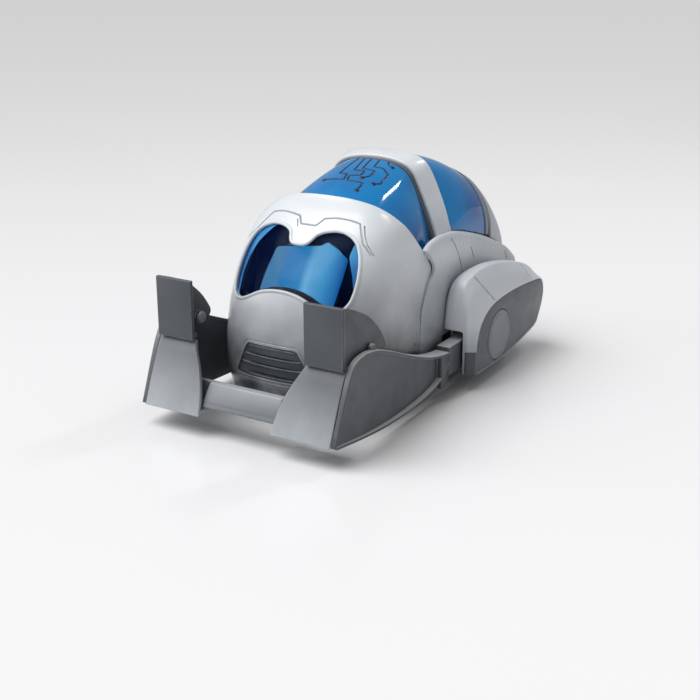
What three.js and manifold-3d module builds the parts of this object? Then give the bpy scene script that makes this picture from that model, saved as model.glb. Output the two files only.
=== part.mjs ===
// Wheeled loader robot: domed body on two driven wheels, two side pods that
// carry a pair of lifting arms with scoops, and a hinged jaw over each scoop.
// Units mm, +Z up, front of the robot towards -Y, its left side towards +X.
// Origin: centre of the footprint, on the floor.
import * as THREE from 'three';
import { mergeVertices } from 'three/addons/utils/BufferGeometryUtils.js';
import Module from 'manifold-3d';

const wasm = await Module();
wasm.setup();

// ---------------------------------------------------------------- dimensions
const LENGTH_FRONT = -107.2;    // scoop tips
const LENGTH_REAR = 107.2;      // rear ends of the pods
const POD_OUTER_X = 65.0;       // outer face of the pivot caps
const POD_FACE_X = 64.6;        // outer face of the dark pod panels
const POD_INNER_X = 46.9;       // inner face of the pods
const WALL = 2.0;               // moulded wall
const HEAD_WALL = 2.2;
const GAP = 0.3;
const PIVOT_Y = 41.6, PIVOT_Z = 23.7;   // lift axis
const CAP_R = 13.4;
const SHAFT_R = 2.5;
const WHEEL_Y = 64, WHEEL_Z = 18, WHEEL_R = 18;
const WHEEL_X0 = 26.4, WHEEL_X1 = 35.6;
const ROLLER_Y = -46, ROLLER_R = 9.5;
const TRAY_Z0 = 8.5, TRAY_Z1 = 10.5;
const LIFT_M = 1.0, LIFT_TEETH = 22, LIFT_PINION_TEETH = 10;
const JAW_Y = -69.5, JAW_Z = 45.2;        // jaw hinge
const JAW_PIN_R = 1.9;
const CELL_R = 7.1, CELL_L = 50.4, CELL_Z = 18.4;

// ------------------------------------------------------------------ materials
const COL = {
  white: [0xdfe3e6, 0.35, 0.0], dark: [0x4c5056, 0.5, 0.0], mid: [0x8d9297, 0.45, 0.0],
  cap: [0x70767d, 0.45, 0.0], blue: [0x1763a8, 0.12, 0.0], screen: [0x3f9be0, 0.3, 0.0],
  gasket: [0x5f656e, 0.6, 0.0], black: [0x1b1d20, 0.55, 0.0], rubber: [0x191a1c, 0.85, 0.0],
  steel: [0xb9bdc2, 0.3, 1.0], brass: [0xc7a35a, 0.35, 1.0], pcb: [0x145a38, 0.5, 0.0],
  cell: [0x6f8f4a, 0.4, 0.1], gearc: [0xe6e1d2, 0.5, 0.0], copper: [0xb9793f, 0.35, 1.0],
};
const material = (k) => new THREE.MeshStandardMaterial({ color: COL[k][0], roughness: COL[k][1], metalness: COL[k][2] });

// -------------------------------------------------------------------- helpers
function clean(g) {
  g = g.clone();
  for (const a of Object.keys(g.attributes)) if (a !== 'position') g.deleteAttribute(a);
  return mergeVertices(g, 1e-4);
}
function man(g) {
  const m = clean(g);
  return new wasm.Manifold(new wasm.Mesh({
    numProp: 3,
    vertProperties: new Float32Array(m.attributes.position.array),
    triVerts: new Uint32Array(m.index.array),
  }));
}
function geo(m) {
  const o = m.getMesh();
  const g = new THREE.BufferGeometry();
  g.setAttribute('position', new THREE.BufferAttribute(new Float32Array(o.vertProperties), 3));
  g.setIndex(new THREE.BufferAttribute(new Uint32Array(o.triVerts), 1));
  return g;
}
const add = (...gs) => geo(gs.map(man).reduce((a, b) => a.add(b)));
const cut = (g, ...tools) => geo(tools.map(man).reduce((a, b) => a.subtract(b), man(g)));
const common = (a, b) => geo(man(a).intersect(man(b)));

function fromTris(pos, idx) {
  let vol = 0;
  for (let i = 0; i < idx.length; i += 3) {
    const [a, b, c] = [pos[idx[i]], pos[idx[i + 1]], pos[idx[i + 2]]];
    vol += a[0] * (b[1] * c[2] - b[2] * c[1]) - a[1] * (b[0] * c[2] - b[2] * c[0]) + a[2] * (b[0] * c[1] - b[1] * c[0]);
  }
  if (vol < 0) for (let i = 0; i < idx.length; i += 3) [idx[i + 1], idx[i + 2]] = [idx[i + 2], idx[i + 1]];
  const g = new THREE.BufferGeometry();
  g.setAttribute('position', new THREE.BufferAttribute(new Float32Array(pos.flat()), 3));
  g.setIndex(idx);
  return mergeVertices(g, 1e-4);
}
const box = (x0, x1, y0, y1, z0, z1) =>
  new THREE.BoxGeometry(x1 - x0, y1 - y0, z1 - z0).translate((x0 + x1) / 2, (y0 + y1) / 2, (z0 + z1) / 2);
function shapeOf(pts, holes) {
  const s = new THREE.Shape(pts.map(([a, b]) => new THREE.Vector2(a, b)));
  for (const h of holes || []) s.holes.push(new THREE.Path(h.map(([a, b]) => new THREE.Vector2(a, b))));
  return s;
}
function extrude(pts, w0, w1, holes) {
  return new THREE.ExtrudeGeometry(shapeOf(pts, holes), { depth: w1 - w0, bevelEnabled: false, curveSegments: 1 }).translate(0, 0, w0);
}
function remap(g, f) {
  const p = g.attributes.position;
  for (let i = 0; i < p.count; i++) { const v = f(p.getX(i), p.getY(i), p.getZ(i)); p.setXYZ(i, v[0], v[1], v[2]); }
  return g;
}
const prismZ = (pts, z0, z1, holes) => extrude(pts, z0, z1, holes);                       // pts (x, y)
const prismX = (pts, x0, x1, holes) => remap(extrude(pts, x0, x1, holes), (u, v, w) => [w, u, v]);   // pts (y, z)
const prismY = (pts, y0, y1, holes) => {                                                  // pts (x, z)
  const sw = (l) => l.map(([x, z]) => [z, x]);
  return remap(extrude(sw(pts), y0, y1, holes && holes.map(sw)), (u, v, w) => [v, w, u]);
};
function circle(cx, cy, r, n = 24, a0 = 0) {
  const out = [];
  for (let i = 0; i < n; i++) { const a = a0 + (i * 2 * Math.PI) / n; out.push([cx + r * Math.cos(a), cy + r * Math.sin(a)]); }
  return out;
}
const cylX = (y, z, r, x0, x1, n = 24) => prismX(circle(y, z, r, n), x0, x1);
const cylY = (x, z, r, y0, y1, n = 24) => prismY(circle(x, z, r, n), y0, y1);
const cylZ = (x, y, r, z0, z1, n = 24) => prismZ(circle(x, y, r, n), z0, z1);
// revolve a closed (axial, radius) profile about the X axis through (y, z)
function turnX(profile, y, z, n = 32) {
  const pos = [], idx = [], m = profile.length;
  for (let i = 0; i < n; i++) {
    const a = (i * 2 * Math.PI) / n;
    for (const [x, r] of profile) pos.push([x, y + r * Math.cos(a), z + r * Math.sin(a)]);
  }
  for (let i = 0; i < n; i++) for (let j = 0; j < m; j++) {
    const a = i * m + j, b = i * m + ((j + 1) % m), c = ((i + 1) % n) * m + j, d = ((i + 1) % n) * m + ((j + 1) % m);
    for (const t of [[a, b, d], [a, d, c]]) idx.push(...t);
  }
  return prune(pos, idx);
}
function prune(pos, idx) {
  const out = [];
  const same = (p, q) => Math.hypot(pos[p][0] - pos[q][0], pos[p][1] - pos[q][1], pos[p][2] - pos[q][2]) < 1e-5;
  for (let i = 0; i < idx.length; i += 3) {
    const [a, b, c] = [idx[i], idx[i + 1], idx[i + 2]];
    if (same(a, b) || same(b, c) || same(a, c)) continue;
    out.push(a, b, c);
  }
  return fromTris(pos, out);
}
// closed body from a stack of closed rings of equal length
function loft(rings) {
  const n = rings[0].length, pos = rings.flat(), idx = [];
  for (let i = 0; i + 1 < rings.length; i++) for (let j = 0; j < n; j++) {
    const a = i * n + j, b = i * n + ((j + 1) % n), c = a + n, d = b + n;
    idx.push(a, b, d, a, d, c);
  }
  const cap = (k, flip) => {
    const r = rings[k], c = [0, 1, 2].map((q) => r.reduce((s, p) => s + p[q], 0) / n);
    const at = pos.length; pos.push(c);
    for (let j = 0; j < n; j++) { const a = k * n + j, b = k * n + ((j + 1) % n); flip ? idx.push(at, a, b) : idx.push(at, b, a); }
  };
  cap(0, false); cap(rings.length - 1, true);
  return prune(pos, idx);
}
// sheet of a given wall built inwards from a grid of points
function sheet(grid, wall, lift = 0) {
  const nu = grid.length, nv = grid[0].length, N = [];
  const v = (p) => new THREE.Vector3(...p);
  for (let i = 0; i < nu; i++) { N.push([]); for (let j = 0; j < nv; j++) {
    const a = v(grid[Math.min(i + 1, nu - 1)][j]).sub(v(grid[Math.max(i - 1, 0)][j]));
    const b = v(grid[i][Math.min(j + 1, nv - 1)]).sub(v(grid[i][Math.max(j - 1, 0)]));
    N[i].push(a.cross(b).normalize());
  } }
  const off = (d) => grid.map((r, i) => r.map((p, j) => v(p).addScaledVector(N[i][j], -d).toArray()));
  const A = off(-lift), B = off(wall - lift), pos = [...A.flat(), ...B.flat()], idx = [], M = nu * nv;
  for (let i = 0; i + 1 < nu; i++) for (let j = 0; j + 1 < nv; j++) {
    const a = i * nv + j, b = a + 1, c = a + nv, d = c + 1;
    idx.push(a, c, d, a, d, b, M + a, M + d, M + c, M + a, M + b, M + d);
  }
  const edge = (p, q) => idx.push(p, q, M + q, p, M + q, M + p);
  for (let j = 0; j + 1 < nv; j++) { edge(j, j + 1); edge((nu - 1) * nv + j + 1, (nu - 1) * nv + j); }
  for (let i = 0; i + 1 < nu; i++) { edge((i + 1) * nv, i * nv); edge(i * nv + nv - 1, (i + 1) * nv + nv - 1); }
  return fromTris(pos, idx);
}
const mirrorX = (g) => { g = clean(g); const p = g.attributes.position, i = g.index;
  for (let k = 0; k < p.count; k++) p.setX(k, -p.getX(k));
  for (let k = 0; k < i.count; k += 3) { const t = i.getX(k + 1); i.setX(k + 1, i.getX(k + 2)); i.setX(k + 2, t); }
  return g; };
// monotone cubic through (x, y) knots
function curve(xs, ys) {
  const n = xs.length, h = [], d = [], m = new Array(n).fill(0);
  for (let i = 0; i < n - 1; i++) { h.push(xs[i + 1] - xs[i]); d.push((ys[i + 1] - ys[i]) / h[i]); }
  m[0] = d[0]; m[n - 1] = d[n - 2];
  for (let i = 1; i < n - 1; i++) if (d[i - 1] * d[i] > 0) { const a = 2 * h[i] + h[i - 1], b = h[i] + 2 * h[i - 1]; m[i] = (a + b) / (a / d[i - 1] + b / d[i]); }
  return (x) => {
    if (x <= xs[0]) return ys[0] + (x - xs[0]) * 0;
    if (x >= xs[n - 1]) return ys[n - 1];
    let i = 0; while (xs[i + 1] < x) i++;
    const t = (x - xs[i]) / h[i], t2 = t * t, t3 = t2 * t;
    return (2 * t3 - 3 * t2 + 1) * ys[i] + (t3 - 2 * t2 + t) * h[i] * m[i] + (-2 * t3 + 3 * t2) * ys[i + 1] + (t3 - t2) * h[i] * m[i + 1];
  };
}
const both = (pts) => [...pts, ...pts.slice().reverse().map(([x, z]) => [-x, z])];        // right half given, x >= 0, up one side

// --------------------------------------------------------------- robot pieces
const group = new THREE.Group();
group.name = 'loader_robot';
function node(name, g, mat) {
  g = clean(g); g.computeVertexNormals();
  const m = new THREE.Mesh(g, material(mat)); m.name = name; group.add(m); return m;
}
const pair = (name, g, mat) => { node(`${name}_left`, g, mat); node(`${name}_right`, mirrorX(g), mat); };

// ---- head: horizontal slices are superellipses in front of HEAD_Y0
const HEAD_Y0 = -20, HEAD_N = 2.55;
const headFront = curve([8, 20, 36, 50, 65, 76, 84.7, 92, 98, 103.3, 107], [-72, -76.0, -76.4, -73.6, -67.0, -59.5, -51.5, -42.5, -33.8, -24.8, -21.5]);
const headHalf = curve([8, 30, 50, 68, 80, 89.2, 96.3, 100.2, 103.3, 107], [44.5, 46.3, 45.6, 44, 42, 39.2, 33, 26.5, 17, 4]);
function headRing(z, inset, yBack, m = 18) {
  const W = Math.max(headHalf(z) - inset, 1.5), D = Math.max(HEAD_Y0 - headFront(z) - inset, 0.6), r = [];
  for (let i = 0; i <= m; i++) {
    const a = (i / m) * Math.PI, c = Math.cos(a), s = Math.sin(a);
    r.push([W * Math.sign(c) * Math.abs(c) ** (2 / HEAD_N), HEAD_Y0 - D * Math.abs(s) ** (2 / HEAD_N), z]);
  }
  r.push([-W, yBack, z], [W, yBack, z]);
  return r;
}
const HEAD_ZS = [8.2, 14, 22, 36, 50, 60, 68, 76, 84.7, 91, 96.3, 100.2, 102.4, 104.6];
const headSolid = (inset, yBack, z0 = HEAD_ZS[0], m) => loft(HEAD_ZS.map((z, i) => headRing(i ? Math.min(z - inset * (z > 90 ? 1 : 0.0), 104.6) : z0, inset, yBack, m)));
// rear boundary of the head in side view (y, z), offset d backwards
const rearEdge = (d) => [[-13.1, 4], [-13.1, 28], [-12.7, 34.7], [-11.3, 47.9], [-5.0, 58.2], [1.6, 65.4], [1.3, 68.2], [-24.8, 103.3], [-32.5, 113.7]].map(([y, z]) => [y + d, z]);
const behind = (d, yFar = 140) => [...rearEdge(d), [yFar, 113.7], [yFar, 4]];
const ahead = (d) => [...rearEdge(d), [-120, 113.7], [-120, 4]];

const VISOR = [[0, 84.7], [3.6, 84.9], [5.6, 86.5], [7.0, 89.0], [10.5, 90.5], [15.5, 91.3], [20.5, 91], [25.3, 89.2], [29, 86.4], [31.4, 82.4], [33, 77.8], [33.9, 72.3], [34.1, 67], [33.5, 62.2], [31.8, 59.0], [28, 57.5], [23, 57.8], [18, 59.9], [13.5, 62.3], [8.8, 63.9], [4, 64.6], [0, 64.8]];
const mirrorPoly = (h) => [...h, ...h.slice(1, -1).reverse().map(([x, z]) => [-x, z])];
const GRILLE = [[-21.5, 22.8], [21.5, 22.8], [22.2, 24.3], [14.9, 38.3], [13.5, 39.6], [-13.5, 39.6], [-14.9, 38.3], [-22.2, 24.3]];
const growPoly = (pts, d) => {                                   // offset a closed outline along vertex normals
  let area = 0; pts.forEach((p, i) => { const q = pts[(i + 1) % pts.length]; area += p[0] * q[1] - q[0] * p[1]; });
  const sgn = area > 0 ? 1 : -1;
  return pts.map((p, i) => {
    const a = pts[(i + pts.length - 1) % pts.length], b = pts[(i + 1) % pts.length];
    const n1 = [(p[1] - a[1]), -(p[0] - a[0])], n2 = [(b[1] - p[1]), -(b[0] - p[0])];
    const l1 = Math.hypot(...n1), l2 = Math.hypot(...n2);
    let nx = n1[0] / l1 + n2[0] / l2, ny = n1[1] / l1 + n2[1] / l2; const l = Math.hypot(nx, ny); nx /= l; ny /= l;
    const k = Math.max(0.5, nx * (n1[0] / l1) + ny * (n1[1] / l1));
    return [p[0] + (sgn * d * nx) / k, p[1] + (sgn * d * ny) / k];
  });
};
{
  let g = headSolid(0, 30);
  g = cut(g, headSolid(HEAD_WALL, 40, 2));
  g = common(g, prismX(ahead(0), -60, 60));
  g = cut(g, prismY(mirrorPoly(VISOR), -95, -30), prismY(GRILLE, -95, -60));
  node('head_shell', g, 'white');
}
// visor lens and the lit face screen behind it
function headBand(inset, wall, poly, z0, z1, m, yFar = -30) {
  const zs = []; for (let i = 0; i <= 9; i++) zs.push(z0 + ((z1 - z0) * i) / 9);
  const outer = loft(zs.map((z) => headRing(z, inset, 0, m)));
  const inner = loft(zs.map((z, i) => headRing(i === 0 ? z - 2 : i === 9 ? z + 2 : z, inset + wall, 10, m)));
  return common(cut(outer, inner), prismY(poly, -95, yFar));
}
node('visor_lens', headBand(HEAD_WALL + GAP, 1.4, growPoly(mirrorPoly(VISOR), 1.6), 52, 95.5, 18), 'blue');
{
  const SCREEN = [[-19.5, 80.5], [-13, 58], [13, 58], [19.5, 80.5], [12, 82.5], [0, 83], [-12, 82.5]];
  node('face_screen', headBand(9.5, 1.6, SCREEN, 52, 90, 18, -38), 'screen');
}
node('led_board', add(box(-15, 15, -39.6, -38, 54, 80), box(-11, 11, -40.8, -39.6, 58, 76), box(-4, 4, -38, -36, 60, 66)), 'pcb');
// grille insert with two louvre lines and a slot
{
  let g = common(cut(loft([18, 22, 26, 30, 34, 38, 41].map((z) => headRing(z, 0.5, 0, 18))),
    loft([14, 22, 26, 30, 34, 38, 44].map((z) => headRing(z, 2.6, 10, 18)))), prismY(growPoly(GRILLE, -GAP), -95, -60));
  for (const [z, w] of [[29.6, 16.6], [34.2, 14.2]]) g = cut(g, prismX([[-90, z - 0.4], [-75.0, z - 0.4], [-75.0, z + 0.4], [-90, z + 0.4]], -w * 0.75, w * 0.75));
  g = cut(g, box(-15.5, 15.5, -90, -74.9, 23.9, 25.4));
  node('grille_insert', g, 'dark');
}

// ---- canopy
const AN = 9;
const frontA = [[0, 100.6], [8, 100.1], [15, 99.0], [22, 96.9], [28.2, 93.4], [33.0, 88.9], [36.4, 83.4], [38.6, 77], [39.8, 71], [40.2, 66]];
const frontB = [[0, 114.4], [8.5, 113.9], [15.5, 112.0], [21, 108.6], [24.2, 104], [27.5, 97], [30.6, 89], [33.2, 81.5], [34.6, 74.5], [35.2, 66]];
const half = (f) => [...f.slice(1).reverse().map(([x, z]) => [x, z]), ...f.map(([x, z]) => [-x, z])];
const planeY = (z, d) => -24.8 + 0.744 * (103.3 - z) + d;
function canopyGrid(A, B, yA, yB, bulge, rows) {
  const a = half(A), b = half(B), g = [];
  for (let i = 0; i <= rows; i++) {
    const t = i / rows, row = [];
    a.forEach((p, j) => {
      const q = b[j], k = bulge * 4 * t * (1 - t), w = Math.min(1, Math.max(0, ((p[1] + q[1]) / 2 - 66) / 20));
      const l = Math.hypot(p[0] + q[0], 60) || 1;
      row.push([p[0] + (q[0] - p[0]) * t + (k * w * (p[0] + q[0])) / l, yA(p) + (yB(q) - yA(p)) * t, p[1] + (q[1] - p[1]) * t + (k * w * 60) / l]);
    });
    g.push(row);
  }
  return g;
}
const OUT = (g) => g;
node('canopy_front', sheet(OUT(canopyGrid(frontA, frontB, (p) => planeY(p[1], -4.2), () => 17.9, 1.2, 6)), 1.8), 'blue');
const rearA = [[0, 115.9], [8.5, 115.6], [15.5, 114.6], [21.0, 112.4], [25.2, 108.2], [28.6, 102.2], [32.0, 94.6], [35.0, 86.6], [37.3, 79.3], [38.0, 70]];
const rearB = [[0, 103.2], [8.5, 102.8], [15.5, 101.7], [21.5, 99.6], [27, 96.2], [31.4, 91.6], [34.8, 86.2], [37.2, 80.2], [38.4, 74], [38.6, 64]];
const canopyRear = sheet(OUT(canopyGrid(rearA, rearB, () => 32.9, () => 75.4, 2.2, 6)), 1.8);

// ---- arch over the canopy with its gasket
const archOuter = [[41.6, 74], [40.1, 79], [36.7, 89.9], [32.6, 99.8], [28.6, 107.9], [25.2, 112.7], [20.8, 115.6], [14.1, 117.2], [5.3, 118], [0, 118]];
const archFront = [[38.8, 74], [37.2, 79], [34.0, 87.5], [29.8, 96.8], [26.4, 104.0], [23.4, 109.5], [18.6, 113.1], [10.6, 115.4], [4.5, 116.1], [0, 116.2]];
function bandGrid(f0, f1, y0, y1) { return [half0(f0).map(([x, z]) => [x, y0, z]), half0(f1).map(([x, z]) => [x, y1, z])]; }
const half0 = (f) => [...f.slice(0, -1), ...f.slice().reverse().map(([x, z]) => [-x, z])];
const shrink = (f, d) => { const n = growPoly([...f, ...f.slice(0, -1).reverse().map(([x, z]) => [-x, z])], -d).slice(0, f.length); n[n.length - 1][0] = 0; n[0][1] = f[0][1]; return n; };
const archG = OUT(bandGrid(archFront, archOuter, 20.4, 31.6));

// ---- shoulder fenders (left one; the right one is its mirror)
const fenderRidge = curve([-16, -6.5, 3, 10.1, 23.8, 40.3, 60.9, 82.8, 94.4, 102.6], [70, 76.1, 80.7, 81.4, 80.7, 77.1, 71, 62.6, 57.2, 51.6]);
const fenderIn = curve([-16, -5, 8.7, 25.8, 40, 57, 78, 102.6], [62, 66, 71.5, 77, 76.4, 72.6, 66.3, 55.0]);
const FENDER_YS = [-16, -11, -6.5, -1.5, 3, 7, 12, 18, 25, 33, 42, 51, 61, 72, 83, 92, 98, 102.4];
function fenderRing(y, inset) {
  const zr = fenderRidge(y) - inset, zi = fenderIn(y) - inset, o = 46.4 - inset, b = 28.5;
  const path = [[o, b], [o, zr - 9.5], [o - 0.5, zr - 4.6], [o - 1.4, zr - 1.8], [o - 3.0, zr - 0.2], [o - 5.2, zr - 0.4 - (zr - zi) * 0.12], [o - 7.8, zi + (zr - zi) * 0.32], [36.3, zi]];
  return path;
}
function fenderSolid(inset, low, inX) {
  return loft(FENDER_YS.map((y, k) => {
    const yy = k === 0 ? y - inset * 3 : k === FENDER_YS.length - 1 ? y + inset * 3 : y;
    const p = fenderRing(y, inset).map(([x, z], i) => [i === 7 ? inX : x, z]);
    p[0][1] = low; p.push([inX, low]);
    return p.map(([x, z]) => [x, yy, z]);
  }));
}
const fenderOuter = fenderSolid(0, 28.5, 36.3);
{
  let g = cut(fenderOuter, fenderSolid(1.8, 20, 30));
  g = common(g, prismX(behind(0.35), 30, 60));
  g = add(g, common(prismX([[-11.8, 28.5], [10.6, 28.5], [10.6, 30.3], [-11.6, 30.3]], 40.5, 46.0), box(30, 60, -40, 40, 20, 60)),
    prismX([[-12.4, 29.6], [-12.4, 22.0], [-10.6, 20.2], [9.4, 20.2], [11.1, 22.0], [11.1, 29.6]], 44.7, 46.4));
  pair('fender', g, 'white');
}
{
  const c = growFender(0.35);
  node('canopy_rear', cut(canopyRear, c, mirrorX(c), box(-60, 60, 20, 90, 50, 64.5)), 'blue');
}
{
  let g = sheet(archG, 2.8);
  const c = growFender(0.35);
  g = cut(g, c, mirrorX(c), box(-60, 60, 0, 60, 60, 75.2));
  node('arch_bar', g, 'white');
}
function growFender(d) {
  return loft(FENDER_YS.map((y) => {
    const p = fenderRing(y, 0).map(([x, z], i) => [i < 3 ? x + d : x, z + d * 1.25]);
    p[7][0] = 36.3 - d; p[0][1] = 28; p.push([36.3 - d, 28]);
    return p.map(([x, z]) => [x, y, z]);
  }));
}
{
  const f = shrink(archFront, 1.6);
  let g = sheet(OUT(bandGrid(f, f, 18.5, 20.1)), 3.0);
  const c = growFender(0.35);
  g = cut(g, c, mirrorX(c), box(-60, 60, 0, 60, 60, 76.2));
  node('arch_gasket', g, 'gasket');
}

// ---- rear shell with its gasket
{
  const rb = growHalf(rearB, 0.8).slice().reverse(), rc = growHalf(rearB, 0.2).slice().reverse();
  let g = sheet(OUT([half0(rb).map(([x, z]) => [x, 75.9, z]), half0(rc).map(([x, z]) => [x, 80.2, z - 2.2])]), 3.0);
  const c = growFender(0.35);
  g = common(cut(g, c, mirrorX(c), box(-60, 60, 60, 90, 50, 67)), box(-60, 60, 75.8, 80.2, 0, 130));
  node('rear_gasket', g, 'gasket');
}
function growHalf(f, d) { const r = f.slice().reverse(); const n = growPoly([...r, ...r.slice(0, -1).reverse().map(([x, z]) => [-x, z])], d).slice(0, r.length); n[n.length - 1][0] = 0; return n.reverse(); }
{
  const top = growHalf(rearB, 1.2).slice().reverse();       // from the foot up to the crown
  const ring = (y, s, zt, zb) => half0(top).map(([x, z]) => [x * s, y, zb + (zt - zb) * Math.max(0, (z - 64) / 41.6)]);
  const G = [ring(80.7, 1, 103.0, 62), ring(85.4, 1.01, 98.4, 60.5), ring(90.6, 1.01, 90.6, 58.5), ring(95.2, 1.0, 79.5, 56.6), ring(98.4, 0.985, 64, 54.8)];
  let g = sheet(OUT(G), 2.0);
  g = add(g, prismY([[-34, 60.4], [-20, 62.6], [0, 63.2], [20, 62.6], [34, 60.4],  [38, 50], [40.3, 44], [40.3, 11.2], [-40.3, 11.2], [-40.3, 44], [-38, 50]], 96.9, 98.9));
  const c = growFender(0.35);
  g = common(cut(g, c, mirrorX(c), cut(fenderOuter), box(-6.2, 6.2, 90, 105, 26.6, 33.4)), box(-60, 60, 80.5, 110, 0, 130));
  node('rear_shell', g, 'white');
}

// ---- side pods: outlines in (y, z) stacked along x
const P_FACE = [[14.1, 9.0], [13.9, 20.1], [14.9, 27.4], [18, 34.7], [23.7, 39.3], [28.8, 41.7], [35.2, 43.4], [49, 44.6], [65.6, 44.5], [83, 43.4], [93.8, 42.2], [97.6, 40.6], [100, 36.6], [100.6, 32], [98.6, 25.8], [94.9, 19.9], [91.8, 15.5], [77.8, 13], [59.2, 10.3], [41.2, 8.9]];
const P_EDGE = [[11.5, 9.3], [11.5, 22], [11.5, 33], [11.8, 43], [14, 49], [18.5, 52], [27, 53.6], [45, 54], [64, 52.2], [82, 49.0], [93, 45.6], [99.5, 42], [104.4, 37.2], [106.9, 31], [106.3, 24.5], [102.4, 18.5], [97, 13.5], [80, 11], [59.2, 9.6], [41.2, 9.0]];
const P_RIDGE = [[11.5, 9.3], [11.5, 22], [11.5, 33], [12.0, 46], [13.6, 53.5], [17.5, 57.8], [26, 60.2], [42, 60.6], [62, 57.8], [81, 53.2], [93, 49], [100.5, 44.5], [105.3, 38.4], [107.2, 31], [106.9, 24.5], [103.4, 18.5], [98, 13.5], [80, 11], [59.2, 9.6], [41.2, 9.0]];
const P_TOP = P_RIDGE.map(([y, z], i) => (i >= 4 && i <= 11 ? [y + 0.2, z + 0.2] : [y, z]));
const P_IN1 = P_RIDGE.map(([y, z], i) => (i >= 3 && i <= 12 ? [y + (i < 6 ? 0.6 : 0), z - 2.0] : [y, z]));
const P_IN0 = P_RIDGE.map(([y, z], i) => (i >= 3 && i <= 12 ? [y + (i < 6 ? 1.6 : 0), z - 4.6] : [i < 3 ? y + 0.8 : y, z]));
const podRings = [[POD_INNER_X, P_IN0], [48.3, P_IN1], [52, P_TOP], [57, P_RIDGE], [60.5, P_EDGE], [POD_FACE_X, P_FACE]];
const podOuter = loft(podRings.map(([x, o]) => o.map(([y, z]) => [x, y, z])));
const podInner = loft([[POD_INNER_X + 2, growPoly(P_IN1, -2.2)], [54, growPoly(P_TOP, -2.2)], [57, growPoly(P_RIDGE, -2.2)], [60.0, growPoly(P_EDGE, -2.2)], [62.3, growPoly(P_FACE, -2.4)]].map(([x, o]) => o.map(([y, z]) => [x, y, z])));
const roundRect = (a0, a1, b0, b1, r, n = 3) => { const o = []; for (const [ca, cb, q] of [[a1 - r, b1 - r, 0], [a0 + r, b1 - r, 1], [a0 + r, b0 + r, 2], [a1 - r, b0 + r, 3]]) for (let i = 0; i <= n; i++) { const t = ((q + i / n) * Math.PI) / 2; o.push([ca + r * Math.cos(t), cb + r * Math.sin(t)]); } return o; };
{
  const skirt = (d) => box(59.4 - d, 70, 5, 16.6 + d, 5, 21.6 + d);
  let g = cut(podOuter, podInner, prismX(growPoly(P_FACE, -0.6), 62.3, 70), skirt(0));
  g = cut(g, prismY(roundRect(45.5, 58.2, 2, 32.2, 1.6), 5, 20));
  g = cut(g, cylX(PIVOT_Y, PIVOT_Z, SHAFT_R + 0.5, 40, 52));
  pair('pod_shell', g, 'white');
  let p = cut(common(podOuter, prismX(growPoly(P_FACE, -0.9), 62.6, 70)), cylX(PIVOT_Y, PIVOT_Z, CAP_R + 0.3, 60, 70, 40));
  p = add(p, common(cut(podOuter, prismX(growPoly(P_FACE, -2.2), 50, 63.0)), box(59.7, 70, 5, 16.3, 5, 21.3)));
  pair('pod_panel', p, 'dark');
  pair('pivot_cap', turnX([[62.7, 0], [62.7, CAP_R - 0.6], [63.2, CAP_R], [64.5, CAP_R], [POD_OUTER_X, CAP_R - 0.5], [POD_OUTER_X, 0]].map(([x, r]) => [x, r]), PIVOT_Y, PIVOT_Z, 36), 'cap');
}

// ---- chassis tray
{
  const N = 14, front = [];
  for (let i = 0; i <= N; i++) { const a = (i / N) * Math.PI, c = Math.cos(a), s = Math.sin(a); front.push([40.6 * Math.sign(c) * Math.abs(c) ** (2 / HEAD_N), -20 - 47.5 * Math.abs(s) ** (2 / HEAD_N)]); }
  const outline = [...front, [-40.6, -12.4], [-43.4, -12.2], [-43.4, 96.4], [43.4, 96.4], [43.4, -12.2], [40.6, -12.4]];
  let g = prismZ(outline, TRAY_Z0, TRAY_Z1);
  const wall = (x0, x1, y0, y1, z1, z0 = TRAY_Z1 - 1) => box(x0, x1, y0, y1, z0, z1);
  g = add(g, wall(41.6, 43.4, -12.0, 96.4, 27.6), wall(-43.4, -41.6, -12.0, 96.4, 27.6), wall(-43.4, 43.4, 94.6, 96.4, 27.6),
    wall(-31.6, -30.1, -31, 26.3, 26), wall(30.1, 31.6, -31, 26.3, 26), wall(-31.6, 31.6, -31, -29.5, 28.7), wall(-31.6, 31.6, 24.8, 26.3, 28.7),
    wall(-24.5, -21.5, 33.4, 49.8, 41.5), wall(-6, -3, 33.4, 49.8, 41.5), wall(10, 13, 35.6, 47.6, 32),
    wall(4, 22, 56, 72, 18.4), wall(-22, -4, 56, 72, 18.4), cylZ(0, 53.4, 2.4, 9.5, 23.0), cylZ(0, 74.6, 2.4, 9.5, 23.0),
    wall(-15, 15, -63.6, -61.6, 40), cylZ(0, -33.2, 2.4, 9.5, 15.5, 16), wall(-16, -14.0, -52, -40, 12.5, 5.6), wall(14, 16.0, -52, -40, 12.5, 5.6));
  g = cut(g, box(-30.1, 30.1, -29.5, 24.8, 0, TRAY_Z1 + 0.5), box(25.6, 36.6, 45.2, 82.8, 0, 20), box(-36.6, -25.6, 45.2, 82.8, 0, 20),
    box(-13.8, 13.8, -56.5, -35.5, 5, 20), cylX(PIVOT_Y, PIVOT_Z, SHAFT_R + 0.11, -50, 50), cylX(ROLLER_Y, ROLLER_R, 1.55, -20, 20, 20),
    box(-40, 0, 35.4, 47.8, 34.4, 60), box(0.2, 24.8, 57.7, 70.3, 12.7, 30), box(-24.8, -0.2, 57.7, 70.3, 12.7, 30),
    cylY(0, 29, 9, -70, -60, 20), cylZ(0, -33.2, 1.4, 0, 20, 12), box(-9.4, 9.4, 90, 100, 26.0, 30));
  node('chassis_tray', g, 'black');
}
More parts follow.
